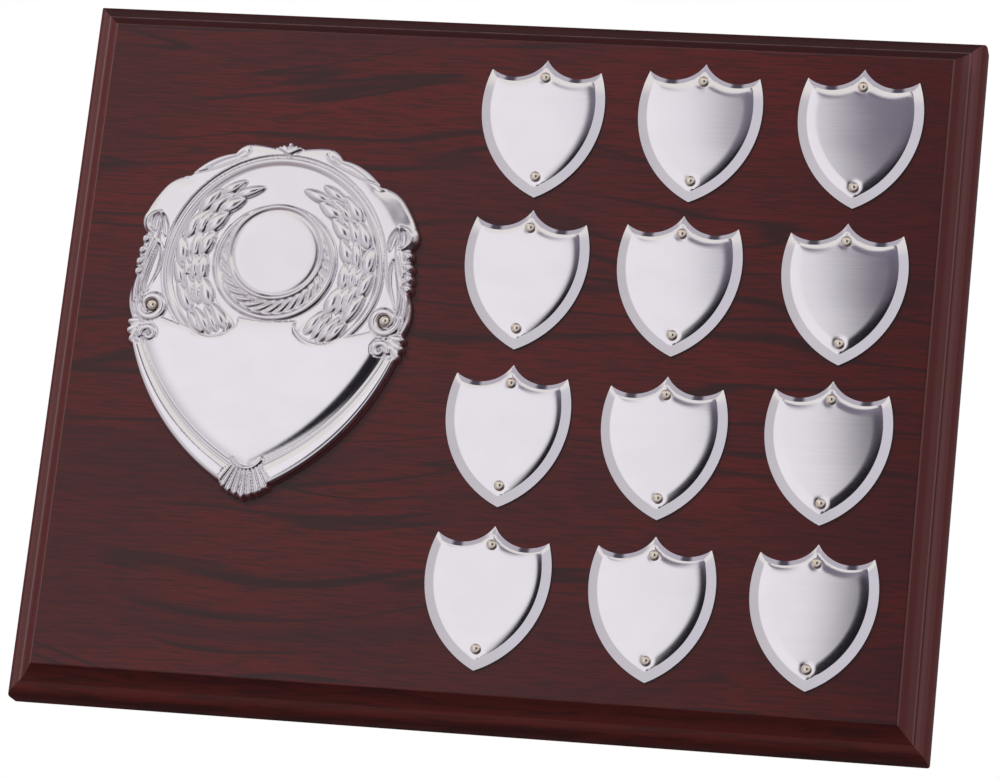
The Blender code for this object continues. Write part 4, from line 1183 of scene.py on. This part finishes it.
def make_pins(nickel):
    """A pin in each end of every side shield, and one in the eye of each large scroll."""
    places = []
    for x, z, lean in side_places().values():
        for _, pin_v in SIDE_PINS:
            places += leaning([(0.0, pin_v, PIN_TOP_HEIGHT - PIN_RISE)], (x, z), lean)
    (eye_u, eye_v), top = LARGE_SCROLL[0], SCROLL_EYE + MAIN_PIN_LIFT
    places += leaning([(-eye_u, eye_v, top), (eye_u, eye_v, top)], SHIELD_CENTRE, SHIELD_LEAN)
    return grown("pins", pins_tree(), places, {"Finish": nickel})


def add_camera():
    forward = Vector(CAMERA_FORWARD).normalized()
    right = forward.cross(Vector(CAMERA_UP)).normalized()
    turn = Matrix((right, right.cross(forward), -forward)).transposed().to_4x4()
    data = bpy.data.cameras.new("camera")
    data.lens = CAMERA_LENS
    data.clip_end = 20.0
    camera = new_object("camera", data)
    camera.matrix_world = Matrix.Translation(MM * Vector(CAMERA_PLACE)) @ turn
    bpy.context.scene.camera = camera


def add_key_light():
    data = bpy.data.lights.new("key", "AREA")
    data.shape = "DISK"
    data.size = MM * KEY_SIZE
    data.energy = KEY_BRIGHTNESS * (math.pi * data.size / 2) ** 2
    data.color = KEY_COLOUR
    light = new_object("key", data)
    turn = (-Vector(KEY_PLACE)).to_track_quat("-Z", "Y").to_matrix().to_4x4()
    light.matrix_world = Matrix.Translation(MM * Vector(KEY_PLACE)) @ turn
    light.visible_glossy = False


def add_world():
    """The room that the metal mirrors, and a white backdrop."""
    world = bpy.data.worlds.new("studio")
    room = Shading(world)
    direction = room.node("ShaderNodeTexCoord", {}, {}, "Generated")
    x, y, z = (room.node("ShaderNodeSeparateXYZ", {}, {"Vector": direction}, axis) for axis in "XYZ")
    sides = {"left": 0.0 - x, "right": x, "down": 0.0 - z, "up": z, "back": y}
    patch = 1.0 - abs(x - OVERHEAD_MIDDLE).above(*OVERHEAD_HALF_WIDTH)
    sides["overhead"] = z.above(*OVERHEAD_FROM) * patch
    sides["low right"] = (x - z) * math.sqrt(0.5)
    lean = x.math("MAXIMUM", z - GAP_LEAN_FROM, 0.0) * GAP_LEAN
    sides["gap"] = x + lean + (1.0 - z.above(*GAP_LOW)) * GAP_LOW_LEAN
    dark = room.mixed(z.above(*GAP_GREY_FROM), GAP_BLACK, GAP_GREY)
    inside = (1.0 - x.above(*GAP_RIGHT)) * (1.0 - z.above(*GAP_TOP)) * z.above(*GAP_FOOT)
    light = ROOM
    for side, start, full, colour in ROOM_PARTS:
        share = sides[side].above(start, full)
        light = room.mixed(share * inside, light, dark) if side == "gap" else room.mixed(share, light, colour)
    for ray, colour in (("Is Diffuse Ray", AMBIENT), ("Is Camera Ray", (1.0, 1.0, 1.0))):
        light = room.mixed(room.node("ShaderNodeLightPath", {}, {}, ray), light, colour)
    room.fill(room.tree.nodes["Background"], {"Color": light})
    bpy.context.scene.world = world


def add_floor():
    half = MM * FLOOR_SIZE / 2
    mesh = bpy.data.meshes.new("floor")
    z = -MM * FLOOR_DEPTH
    corners = [(-half, -half, z), (half, -half, z), (half, half, z), (-half, half, z)]
    mesh.from_pydata(corners, [], [(0, 1, 2, 3)])
    mesh.materials.append(pale_floor())
    floor = new_object("floor", mesh)
    floor.visible_glossy = floor.visible_diffuse = False


def main():
    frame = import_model()
    nodes = sorted(frame["nodes"])
    bpy.context.scene.view_settings.view_transform = "Standard"
    add_camera()
    add_world()
    add_key_light()
    add_floor()

    side_nodes = [name for name in nodes if name.startswith("side_shield")]
    pin_nodes = [name for name in nodes if "pin_" in name]

    wood, silver, nickel = stained_wood(), silvered_metal(), pin_nickel()
    pieces = [
        (make_board(wood), "stained_wood", ["board"]),
        (make_main_shield(silver), "silvered_metal", ["main_shield"]),
        (make_side_shields(silver), "silvered_metal", side_nodes),
        (make_pins(nickel), "pin_nickel", pin_nodes),
    ]
    for piece, slot, replaced in pieces:
        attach(piece, "root")
        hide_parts(*replaced)
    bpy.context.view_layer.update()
    for piece, _, _ in pieces:
        print(piece.name, sum(len(face.vertices) - 2 for face in piece.data.polygons), "triangles")


main()
